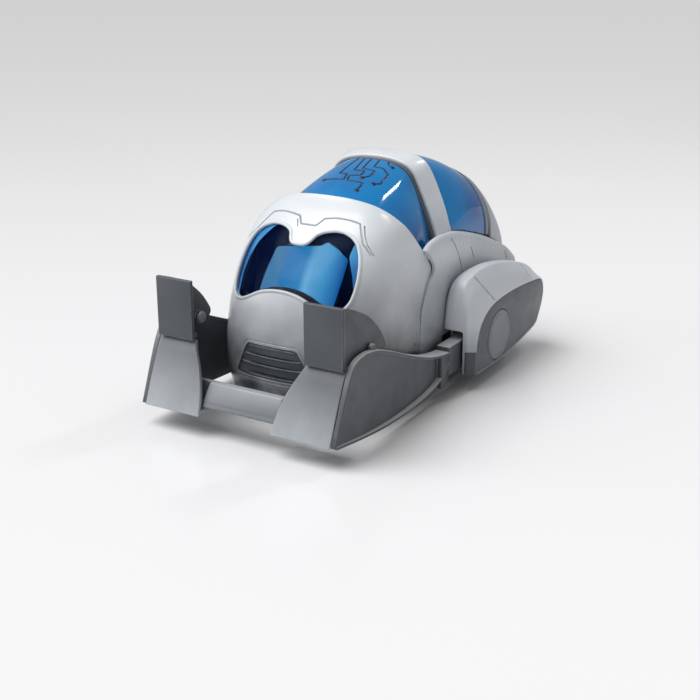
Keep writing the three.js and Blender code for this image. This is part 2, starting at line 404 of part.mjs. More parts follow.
// ---- battery bay
node('battery_door', cut(add(box(-29.7, 29.7, -29.2, 24.5, TRAY_Z0, TRAY_Z1), box(-6, 6, -35.9, -28.6, TRAY_Z0 - 1.8, TRAY_Z0 - 0.3), box(-6, 6, -29.2, -27.6, TRAY_Z0 - 1.8, TRAY_Z1 - 0.2)), cylZ(0, -33.2, 1.4, 0, 20, 12), ...[-20, -16, -12, 12, 16, 20].map((x) => box(x - 1, x + 1, 14, 20, 0, TRAY_Z0 + 0.6))), 'black');
node('door_screw', add(cylZ(0, -33.2, 1.1, TRAY_Z0 - 2.5, 14.6, 12), cut(cylZ(0, -33.2, 2.3, TRAY_Z0 - 3.2, TRAY_Z0 - 2.1, 18), box(-0.35, 0.35, -34.7, -31.7, 0, TRAY_Z0 - 2.7), box(-1.5, 1.5, -33.55, -32.85, 0, TRAY_Z0 - 2.7))), 'steel');
[-22.2, -7.4, 7.4, 22.2].forEach((x, i) => {
  const s = i % 2 ? 1 : -1, y0 = -27.0, y1 = y0 + CELL_L - 1.4;
  const body = cylY(x, CELL_Z, CELL_R, y0 + (s < 0 ? 0.7 : 0), y1 + (s < 0 ? 0.7 : 0), 24);
  const nub = s > 0 ? cylY(x, CELL_Z, 2.6, y1 - 0.5, y1 + 1.2, 14) : cylY(x, CELL_Z, 2.6, y0 - 0.5, y0 + 1.2, 14);
  node(`aa_cell_${i + 1}`, add(body, nub), 'cell');
});
node('contact_front', add(box(-29, 29, -29.2, -28.7, 12.5, 24.5), ...[-22.2, -7.4, 7.4, 22.2].map((x) => cylY(x, CELL_Z, 2.2, -28.9, -27.9, 14))), 'steel');
node('contact_rear', add(box(-29, 29, 24.1, 24.6, 12.5, 24.5), ...[-22.2, -7.4, 7.4, 22.2].map((x) => cylY(x, CELL_Z, 2.2, 23.6, 24.3, 14))), 'steel');
// ---- electronics
node('main_board', add(box(-30, 30, -30, 26, 29.0, 30.6), box(-8, 8, -8, 8, 30.6, 32.2), box(16, 25, -22, -12, 30.6, 33.4), box(-26, -18, 8, 18, 30.6, 36.6), cylZ(-20, -18, 3.2, 30.6, 38.6, 18), box(8, 24, 18, 24, 30.6, 35.2)), 'pcb');
node('speaker', add(cylY(0, 29, 13.4, -66.4, -63.9, 32), cylY(0, 29, 8.6, -64.2, -58.6, 24), cylY(0, 29, 10.8, -67.4, -66.2, 28)), 'black');
pair('drive_motor', add(box(15.2, 24.3, 58, 70, 13, 23), common(cylX(WHEEL_Y, WHEEL_Z, 6, 0.6, 15.4, 28), box(0, 16, 50, 80, 13, 23))), 'steel');
node('motor_clamp', cut(add(box(-20, 20, 57, 71, 23.3, 24.9), box(-2.6, 2.6, 50.8, 77.2, 23.3, 24.9)), cylZ(0, 53.4, 1.2, 20, 30, 14), cylZ(0, 74.6, 1.2, 20, 30, 14)), 'black');
node('lift_motor', add(box(-11.2, -2.2, 35.6, 47.6, 34.7, 44.7), common(cylX(PIVOT_Y, 39.7, 6, -26, -11, 28), box(-30, 0, 30, 60, 34.7, 44.7))), 'steel');
// ---- power switch in the rear wall
node('switch_body', add(cut(box(-9, 9, 90.6, 96.5, 26.4, 33.6), box(-4.1, 4.1, 94.4, 98, 28.3, 31.7))), 'black');
node('switch_knob', add(box(-2.1, 2.1, 94.7, 96.9, 28.6, 31.4), box(-2.1, 2.1, 96.5, 100.2, 28.9, 31.1)), 'mid');

// ---- drive wheels
{
  const hub = [[WHEEL_X0, 1.58], [WHEEL_X0, 5], [28.2, 6], [30.2, 6.6], [30.2, 11.4], [27.6, 12.2], [27.6, 14.4], [34.6, 14.4], [34.6, 12.2], [32.4, 11.4], [32.4, 6.6], [34.6, 5], [34.6, 1.58]];
  let g = turnX(hub, WHEEL_Y, WHEEL_Z, 24);
  g = cut(g, ...[0, 1, 2, 3, 4].map((k) => cylX(WHEEL_Y + 9 * Math.cos((k * 2 * Math.PI) / 5), WHEEL_Z + 9 * Math.sin((k * 2 * Math.PI) / 5), 1.7, 25, 40, 8)));
  pair('wheel_hub', g, 'mid');
  const tyre = [[26.6, 14.7], [26.6, 17.2], [27.6, WHEEL_R], [34.6, WHEEL_R], [WHEEL_X1, 17.2], [WHEEL_X1, 14.7]];
  let t = turnX(tyre, WHEEL_Y, WHEEL_Z, 32);
  pair('tyre', t, 'rubber');
  pair('drive_shaft', cylX(WHEEL_Y, WHEEL_Z, 1.5, 24.6, 35.4, 16), 'steel');
}
// ---- front roller with moulded stub axles
node('front_roller', turnX([[-17.4, 0], [-17.4, 1.45], [-13.0, 1.45], [-13.0, 3.2], [-12.4, 3.2], [-12.4, 8.6], [-11.4, ROLLER_R], [11.4, ROLLER_R], [12.4, 8.6], [12.4, 3.2], [13.0, 3.2], [13.0, 1.45], [17.4, 1.45], [17.4, 0]], ROLLER_Y, ROLLER_R, 20), 'mid');

// ---- lift mechanism
function gear(teeth, m, phase, x0, x1, y, z, bore) {
  const rp = (teeth * m) / 2, ra = rp + 0.85 * m, rf = rp - 1.1 * m, o = [];
  for (let i = 0; i < teeth; i++) {
    const c = phase + (i * 2 * Math.PI) / teeth, q = (2 * Math.PI) / teeth;
    for (const [r, f] of [[rf, -0.33], [ra, -0.12], [ra, 0.12], [rf, 0.33]]) o.push([y + r * Math.cos(c + q * f), z + r * Math.sin(c + q * f)]);
  }
  return prismX(o, x0, x1, bore ? [circle(y, z, bore, 20)] : undefined);
}
node('lift_shaft', add(cylX(PIVOT_Y, PIVOT_Z, SHAFT_R, -57.2, 57.2, 24)), 'steel');
{
  const r2 = LIFT_TEETH * LIFT_M / 2 + LIFT_PINION_TEETH * LIFT_M / 2 + 0.15;
  let g = add(gear(LIFT_TEETH, LIFT_M, Math.PI / 2, 3.0, 7.8, PIVOT_Y, PIVOT_Z), cylX(PIVOT_Y, PIVOT_Z, 5, 7.6, 9.6, 20));
  g = cut(g, cylX(PIVOT_Y, PIVOT_Z, SHAFT_R + 0.05, 0, 12, 24));
  node('lift_gear', g, 'gearc');
  const p = add(gear(LIFT_PINION_TEETH, LIFT_M, -Math.PI / 2 + Math.PI / LIFT_PINION_TEETH, 2.8, 8.0, PIVOT_Y, PIVOT_Z + r2), cylX(PIVOT_Y, PIVOT_Z + r2, 1.5, -1.9, 9.0, 14));
  node('lift_pinion', p, 'brass');
}
// ---- arms
const FORE_TOP = [[-106.6, 10.9], [-92.8, 42.2], [-89.4, 46.1], [-82.5, 47.8], [-75.5, 47.6], [-67.1, 45.7], [-57.1, 42.1], [-37.5, 34.2], [-20.9, 28.5], [-6.5, 25.5], [-0.9, 25.0]];
const FORE_LOW = [[-0.9, 9.6], [-8.5, 6.4], [-22, 4.7], [-49, 5.2], [-74.4, 6.8], [-98, 9.4]];
{
  let g = prismX([...FORE_TOP, ...FORE_LOW], 52.5, 54.3);
  // top lip, widening towards the shoulder
  const lipIn = curve([-107, -92, -75, -57, -37, -20, -0.9], [52.5, 52.5, 52.5, 52.2, 51, 49.8, 48.9]);
  const lipOut = curve([-107, -92, -75, -57, -37, -20, -0.9], [54.9, 55.4, 55.8, 56.2, 56.6, 56.9, 57.0]);
  const lip = loft(FORE_TOP.map(([y, z], i) => {
    const a = FORE_TOP[Math.max(0, i - 1)], b = FORE_TOP[Math.min(FORE_TOP.length - 1, i + 1)], l = Math.hypot(b[0] - a[0], b[1] - a[1]);
    const ny = (b[1] - a[1]) / l, nz = -(b[0] - a[0]) / l, t = 1.4;
    return [[lipIn(y), y, z], [lipOut(y), y, z], [lipOut(y), y + ny * t, z + nz * t], [lipIn(y), y + ny * t, z + nz * t]];
  }));
  const RIB = [[-104.5, 10.4], [-74.4, 7.5], [-49.1, 6.9], [-22, 8.9], [-7.8, 13.2], [-0.9, 18.2]];
  const rib = loft(RIB.map(([y, z], i) => { const w = [0.5, 1.6, 2.2, 2.5, 2.7, 2.7][i]; return [[54.0, y, z - 0.7], [54.3 + w, y, z - 0.7], [54.3 + w, y, z + 0.7], [54.0, y, z + 0.7]]; }));
  g = add(g, lip, rib, prismX([[-9, 7.4], [-0.9, 10.0], [-0.9, 24.6], [-9, 25.2]], 49.0, 56.9), box(50.8, 55, -1.2, 8.4, 15.2, 23.6));
  g = add(g, cylX(JAW_Y, JAW_Z, JAW_PIN_R, 46.7, 53.4, 20));
  g = cut(g, cylX(-93, 24, 1.2, 50, 60, 14), cylX(-84, 30, 1.2, 50, 60, 14));
  pair('forearm', g, 'dark');
}
{
  let g = add(prismX([[-0.6, 12.0], [12.5, 11.9], [18, 13.8], [30, 14.8], [PIVOT_Y, 15.0], [PIVOT_Y, 33.2], [34, 31.6], [24, 28.6], [12, 27.3], [-0.6, 27.3]], 49.4, 56.8), cylX(PIVOT_Y, PIVOT_Z, 9.6, 49.4, 58.8, 32));
  g = cut(g, box(50.5, 55.3, -5, 8.7, 14.9, 23.9), cylX(PIVOT_Y, PIVOT_Z, SHAFT_R + 0.05, 48, 57.5, 24));
  pair('arm_link', g, 'dark');
}
// ---- scoops and cross beam
const RAMP = [[-107.2, 10.6], [-104.6, 17.0], [-101.6, 24.4], [-98.4, 31.6], [-95.6, 37.6], [-93.6, 41.0], [-92.6, 42.0], [-91.4, 42.2]];
{
  const innerX = [20.4, 21.2, 22.9, 25.8, 29.0, 30.8, 31.3, 31.4];
  const t = 2.1;
  let g = loft(RAMP.map(([y, z], i) => {
    const a = RAMP[Math.max(0, i - 1)], b = RAMP[Math.min(RAMP.length - 1, i + 1)], l = Math.hypot(b[0] - a[0], b[1] - a[1]);
    const ny = (b[1] - a[1]) / l, nz = -(b[0] - a[0]) / l, k = i === 0 ? 0.35 : 1;
    return [[innerX[i], y, z], [52.2, y, z], [52.2, y + ny * t * k, z + nz * t * k], [innerX[i], y + ny * t * k, z + nz * t * k]];
  }));
  g = add(g, prismX([[-104.0, 14], [-100.5, 12.5], [-78.5, 12.5], [-78.5, 34], [-88, 39.5], [-94.2, 37.6]], 50.2, 52.2),
    prismX([[-105.6, 11.0], [-90, 10.4], [-90, 12.4], [-104.9, 12.8]], 21.0, 52.2));
  g = cut(g, cylX(-93, 24, 1.2, 50, 60, 14), cylX(-84, 30, 1.2, 50, 60, 14));
  pair('scoop', g, 'mid');
}
{
  let g = prismX([[-103.4, 14.2], [-100.4, 19.6], [-96.6, 24.5], [-94.8, 24.5], [-94.8, 14.2]], -20.6, 20.6);
  const ear = prismX([[-98.4, 15.2], [-94.8, 20.6], [-94.8, 24.2], [-92.4, 24.2], [-92.4, 15.2]], -30, 30);
  g = add(g, ear);
  const blade = (s) => loft(RAMP.map(([y, z], i) => {
    const a = RAMP[Math.max(0, i - 1)], b = RAMP[Math.min(RAMP.length - 1, i + 1)], l = Math.hypot(b[0] - a[0], b[1] - a[1]);
    const ny = (b[1] - a[1]) / l, nz = -(b[0] - a[0]) / l;
    return [[s * 19.9, y - ny * 4, z - nz * 4], [s * 53, y - ny * 4, z - nz * 4], [s * 53, y + ny * 2.5, z + nz * 2.5], [s * 19.9, y + ny * 2.5, z + nz * 2.5]];
  }));
  g = cut(g, blade(1), blade(-1));
  node('cross_beam', g, 'mid');
}
// ---- jaws
{
  const CHEEK = [[-93.3, 71.6], [-90.7, 70.9], [-83.9, 68.5], [-72.2, 62.8], [-62.5, 54.4], [-56.2, 45.2], [-58.5, 41.6], [-66, 39.2], [-72, 38.8], [-76.5, 41.5], [-80, 44.4], [-90.5, 44.6], [-93.3, 43.0]];
  let g = add(prismX(CHEEK, 49.6, 51.8),
    prismX([[-95.2, 42.6], [-93.0, 42.6], [-93.0, 71.8], [-95.2, 71.8]], 31.5, 51.8),
    prismX([[-93.2, 44.6], [-91.4, 43.4], [-91.4, 45.4], [-93.2, 46.4]], 31.5, 50),
    cylX(JAW_Y, JAW_Z, 3.6, 47.0, 50, 24));
  g = cut(g, cylX(JAW_Y, JAW_Z, JAW_PIN_R + 0.1, 40, 60, 20));
  pair('jaw', g, 'dark');
  pair('jaw_cap', turnX([[44.9, 0], [44.9, 2.4], [45.4, 2.9], [46.4, 2.9], [46.4, 0]], JAW_Y, JAW_Z, 20), 'mid');
}

export default group;
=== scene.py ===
import math

import bpy
import numpy as np
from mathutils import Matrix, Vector
from mathutils.bvhtree import BVHTree


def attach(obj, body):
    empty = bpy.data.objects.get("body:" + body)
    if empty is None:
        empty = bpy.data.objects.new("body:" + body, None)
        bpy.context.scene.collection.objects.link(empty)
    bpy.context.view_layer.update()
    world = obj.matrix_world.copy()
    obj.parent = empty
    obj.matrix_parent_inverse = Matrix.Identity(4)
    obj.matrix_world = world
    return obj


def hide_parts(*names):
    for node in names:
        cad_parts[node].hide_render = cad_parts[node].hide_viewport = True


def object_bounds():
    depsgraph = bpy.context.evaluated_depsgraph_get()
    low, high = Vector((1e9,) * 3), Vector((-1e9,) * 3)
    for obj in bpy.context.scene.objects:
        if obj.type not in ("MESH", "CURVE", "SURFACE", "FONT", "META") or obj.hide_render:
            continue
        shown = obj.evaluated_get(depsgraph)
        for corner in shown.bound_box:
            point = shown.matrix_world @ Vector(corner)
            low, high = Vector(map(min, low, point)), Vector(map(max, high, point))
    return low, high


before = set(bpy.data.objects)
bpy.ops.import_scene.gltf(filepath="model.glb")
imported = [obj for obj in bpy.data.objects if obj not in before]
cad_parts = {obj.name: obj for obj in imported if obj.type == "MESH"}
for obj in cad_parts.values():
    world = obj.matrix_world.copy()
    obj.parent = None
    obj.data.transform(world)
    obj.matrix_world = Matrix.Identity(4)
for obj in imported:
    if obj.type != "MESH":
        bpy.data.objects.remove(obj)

BOUNDS_AT_LOAD = [[float(c) for c in v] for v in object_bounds()]
BOX_LO = np.array(BOUNDS_AT_LOAD[0]) * 1000
BOX_HI = np.array(BOUNDS_AT_LOAD[1]) * 1000

# ------------------------------------------------------------ mesh tools (mm)


def oriented(V, F):
    V = np.array(V, float)
    vol = 0.0
    for f in F:
        a = V[f[0]]
        for i in range(1, len(f) - 1):
            vol += np.dot(a, np.cross(V[f[i]], V[f[i + 1]]))
    if vol < 0:
        F = [tuple(reversed(f)) for f in F]
    return V, [tuple(int(i) for i in f) for f in F]


def welded(V, F, tol=1e-4):
    V = np.array(V, float)
    key, index, out = {}, [], []
    for p in V:
        k = tuple(np.round(p / tol).astype(int))
        if k not in key:
            key[k] = len(out)
            out.append(p)
        index.append(key[k])
    faces = []
    for f in F:
        g = []
        for i in f:
            j = index[i]
            if not g or g[-1] != j:
                g.append(j)
        while len(g) > 1 and g[0] == g[-1]:
            g.pop()
        if len(g) > 2 and len(set(g)) == len(g):
            faces.append(tuple(g))
    return oriented(out, faces)


def loft(rings, closed=False):
    R = [np.array(r, float) for r in rings]
    n, k = len(R[0]), len(R)
    V = np.vstack(R)
    F = []
    for i in range(k if closed else k - 1):
        for j in range(n):
            a, b = i * n + j, i * n + (j + 1) % n
            c, d = ((i + 1) % k) * n + j, ((i + 1) % k) * n + (j + 1) % n
            F.append((a, b, d, c))
    if not closed:
        F.append(tuple(reversed(range(n))))
        F.append(tuple(range((k - 1) * n, k * n)))
    return welded(V, F)


def prism(axis, pts, w0, w1):
    pts = np.array(pts, float)
    rings = []
    for w in (w0, w1):
        if axis == "x":
            rings.append([(w, a, b) for a, b in pts])
        elif axis == "y":
            rings.append([(a, w, b) for a, b in pts])
        else:
            rings.append([(a, b, w) for a, b in pts])
    return loft(rings)


def box(x0, x1, y0, y1, z0, z1):
    return prism("z", [(x0, y0), (x1, y0), (x1, y1), (x0, y1)], z0, z1)


def circle(cx, cy, r, n=48):
    return [(cx + r * math.cos(2 * math.pi * i / n), cy + r * math.sin(2 * math.pi * i / n)) for i in range(n)]


def tube(axis, cx, cy, r, w0, w1, n=48):
    return prism(axis, circle(cx, cy, r, n), w0, w1)


def turn_x(profile, y, z, n=96, wave=None):
    rings = []
    for i in range(n):
        a = 2 * math.pi * i / n
        rings.append([(x, y + (r - (wave(i, x, r) if wave else 0)) * math.cos(a), z + (r - (wave(i, x, r) if wave else 0)) * math.sin(a)) for x, r in profile])
    return loft(rings, closed=True)


def sheet(grid, wall):
    G = np.array(grid, float)
    nu, nv = G.shape[:2]
    du = np.zeros_like(G)
    dv = np.zeros_like(G)
    du[1:-1] = G[2:] - G[:-2]
    du[0], du[-1] = G[1] - G[0], G[-1] - G[-2]
    dv[:, 1:-1] = G[:, 2:] - G[:, :-2]
    dv[:, 0], dv[:, -1] = G[:, 1] - G[:, 0], G[:, -1] - G[:, -2]
    N = np.cross(du, dv)
    N /= np.linalg.norm(N, axis=2, keepdims=True)
    A, B = G, G - N * wall
    V = np.vstack([A.reshape(-1, 3), B.reshape(-1, 3)])
    M = nu * nv
    F = []
    for i in range(nu - 1):
        for j in range(nv - 1):
            a, b, c, d = i * nv + j, i * nv + j + 1, (i + 1) * nv + j, (i + 1) * nv + j + 1
            F.append((a, c, d, b))
            F.append((M + a, M + b, M + d, M + c))

    def edge(p, q):
        F.append((p, q, M + q, M + p))

    for j in range(nv - 1):
        edge(j, j + 1)
        edge((nu - 1) * nv + j + 1, (nu - 1) * nv + j)
    for i in range(nu - 1):
        edge((i + 1) * nv, i * nv)
        edge(i * nv + nv - 1, (i + 1) * nv + nv - 1)
    return oriented(V, F)


def sweep(path, normals, prof, closed=False):
    P, N = np.array(path, float), np.array(normals, float)
    if closed:
        T = np.roll(P, -1, 0) - np.roll(P, 1, 0)
    else:
        T = np.gradient(P, axis=0)
    T /= np.linalg.norm(T, axis=1, keepdims=True)
    B = np.cross(T, N)
    B /= np.linalg.norm(B, axis=1, keepdims=True)
    N2 = np.cross(B, T)
    rings = [[P[i] + b * B[i] + n * N2[i] for b, n in prof] for i in range(len(P))]
    return loft(rings, closed=closed)


def mirrored(b):
    V, F = b
    V = V.copy()
    V[:, 0] *= -1
    return V, [tuple(reversed(f)) for f in F]


def catmull(P, n=5):
    P = np.array(P, float)
    E = np.vstack([2 * P[0] - P[1], P, 2 * P[-1] - P[-2]])
    out = []
    for i in range(1, len(E) - 2):
        p0, p1, p2, p3 = E[i - 1], E[i], E[i + 1], E[i + 2]
        t0 = 0.0
        t1 = t0 + max(np.linalg.norm(p1 - p0), 1e-6) ** 0.5
        t2 = t1 + max(np.linalg.norm(p2 - p1), 1e-6) ** 0.5
        t3 = t2 + max(np.linalg.norm(p3 - p2), 1e-6) ** 0.5
        for k in range(n):
            t = t1 + (t2 - t1) * k / n
            a1 = (t1 - t) / (t1 - t0) * p0 + (t - t0) / (t1 - t0) * p1
            a2 = (t2 - t) / (t2 - t1) * p1 + (t - t1) / (t2 - t1) * p2
            a3 = (t3 - t) / (t3 - t2) * p2 + (t - t2) / (t3 - t2) * p3
            b1 = (t2 - t) / (t2 - t0) * a1 + (t - t0) / (t2 - t0) * a2
            b2 = (t3 - t) / (t3 - t1) * a2 + (t - t1) / (t3 - t1) * a3
            out.append((t2 - t) / (t2 - t1) * b1 + (t - t1) / (t2 - t1) * b2)
    out.append(P[-1])
    return np.array(out)


def bezier_corner(a, p, b, r, n):
    la, lb = np.linalg.norm(a - p), np.linalg.norm(b - p)
    s = p + (a - p) * min(r, 0.45 * la) / max(la, 1e-9)
    e = p + (b - p) * min(r, 0.45 * lb) / max(lb, 1e-9)
    return [(1 - t) ** 2 * s + 2 * t * (1 - t) * p + t * t * e for t in np.linspace(0, 1, n + 1)]


def fillet(P, r, n=4):
    """closed outline with its corners rounded; r is one radius, or one for each corner, 0 leaves a corner as it is"""
    P = np.array(P, float)
    k = len(P)
    rr = r if hasattr(r, "__len__") else [r] * k
    out = []
    for i in range(k):
        if rr[i] <= 0:
            out.append(P[i])
        else:
            out.extend(bezier_corner(P[i - 1], P[i], P[(i + 1) % k], rr[i], n))
    return np.array(out)


def round_rings(rings, r, n=3):
    R = np.array(rings, float)
    cols = []
    for j in range(R.shape[1]):
        c = [R[0, j]]
        for i in range(1, R.shape[0] - 1):
            c.extend(bezier_corner(R[i - 1, j], R[i, j], R[i + 1, j], r, n))
        c.append(R[-1, j])
        cols.append(c)
    return np.array(cols).transpose(1, 0, 2)


def grow(pts, d):
    P = np.array(pts, float)
    n = len(P)
    area = sum(P[i][0] * P[(i + 1) % n][1] - P[(i + 1) % n][0] * P[i][1] for i in range(n))
    s = 1 if area > 0 else -1
    out = []
    for i in range(n):
        a, p, b = P[i - 1], P[i], P[(i + 1) % n]
        n1 = np.array([p[1] - a[1], -(p[0] - a[0])])
        n2 = np.array([b[1] - p[1], -(b[0] - p[0])])
        n1 /= max(np.linalg.norm(n1), 1e-9)
        n2 /= max(np.linalg.norm(n2), 1e-9)
        m = n1 + n2
        m /= max(np.linalg.norm(m), 1e-9)
        k = max(0.5, float(np.dot(m, n1)))
        out.append(p + s * d * m / k)
    return np.array(out)


def pchip(xs, ys):
    xs, ys = list(map(float, xs)), list(map(float, ys))
    n = len(xs)
    h = [xs[i + 1] - xs[i] for i in range(n - 1)]
    d = [(ys[i + 1] - ys[i]) / h[i] for i in range(n - 1)]
    m = [0.0] * n
    m[0], m[-1] = d[0], d[-1]
    for i in range(1, n - 1):
        if d[i - 1] * d[i] > 0:
            a, b = 2 * h[i] + h[i - 1], h[i] + 2 * h[i - 1]
            m[i] = (a + b) / (a / d[i - 1] + b / d[i])

    def f(x):
        if x <= xs[0]:
            return ys[0]
        if x >= xs[-1]:
            return ys[-1]
        i = 0
        while xs[i + 1] < x:
            i += 1
        t = (x - xs[i]) / h[i]
        t2, t3 = t * t, t ** 3
        return (2 * t3 - 3 * t2 + 1) * ys[i] + (t3 - 2 * t2 + t) * h[i] * m[i] + (-2 * t3 + 3 * t2) * ys[i + 1] + (t3 - t2) * h[i] * m[i + 1]

    return f


def temp_object(b):
    me = bpy.data.meshes.new("tmp")
    me.from_pydata([tuple(map(float, p)) for p in b[0]], [], b[1])
    me.update()
    o = bpy.data.objects.new("tmp", me)
    bpy.context.scene.collection.objects.link(o)
    return o


def evaluated(o):
    bpy.context.view_layer.update()
    e = o.evaluated_get(bpy.context.evaluated_depsgraph_get())
    me = e.to_mesh()
    co = np.zeros(len(me.vertices) * 3)
    me.vertices.foreach_get("co", co)
    F = [tuple(p.vertices) for p in me.polygons]
    e.to_mesh_clear()
    return co.reshape(-1, 3), F


def dropped(o):
    me = o.data
    bpy.data.objects.remove(o)
    bpy.data.meshes.remove(me)


def boolean(op, a, *tools, label=""):
    for t in tools:
        A, B = temp_object(a), temp_object(t)
        m = A.modifiers.new("b", "BOOLEAN")
        m.operation, m.object, m.solver = op, B, "MANIFOLD"
        r = evaluated(A)
        if len(r[1]) == 0 or (len(r[0]) == len(a[0]) and len(r[1]) == len(a[1])):
            m.solver = "EXACT"
            r = evaluated(A)
            print("boolean fell back:", label, op, len(a[0]), len(r[0]))
        dropped(A)
        dropped(B)
        a = r
    return a


def cut(a, *t, label=""):
    return boolean("DIFFERENCE", a, *t, label=label)


def join(a, *t, label=""):
    return boolean("UNION", a, *t, label=label)


def common(a, *t, label=""):
    return boolean("INTERSECT", a, *t, label=label)


def bevel(b, w, angle=35, seg=3):
    o = temp_object(b)
    m = o.modifiers.new("v", "BEVEL")
    m.width, m.segments, m.limit_method, m.angle_limit = w, seg, "ANGLE", math.radians(angle)
    r = evaluated(o)
    dropped(o)
    return r


def tree_of(b):
    return BVHTree.FromPolygons([Vector(p) for p in b[0]], [list(f) for f in b[1]])


def resample(path, step):
    P = np.array(path, float)
    out = [P[0]]
    for a, b in zip(P[:-1], P[1:]):
        k = max(1, int(round(np.linalg.norm(b - a) / step)))
        for i in range(1, k + 1):
            out.append(a + (b - a) * i / k)
    return np.array(out)


def channel(tree, path, width, depth, step=1.0, above=0.8):
    pts, nrm = [], []
    for p in resample(path, step):
        loc, n, _, _ = tree.find_nearest(Vector(p))
        pts.append(loc)
        nrm.append(n)
    nrm = np.array([list(n) for n in nrm])
    k = nrm.copy()
    for i in range(len(nrm)):
        k[i] = nrm[max(0, i - 2): i + 3].mean(0)
    h = width / 2
    return sweep(np.array([list(p) for p in pts]), k, [(-h * 0.55, -depth), (h * 0.55, -depth), (h, above), (-h, above)])


# ---------------------------------------------------------- materials


def lin(c):
    return tuple(((v / 255) / 12.92 if v / 255 <= 0.04045 else (((v / 255) + 0.055) / 1.055) ** 2.4) for v in c) + (1.0,)


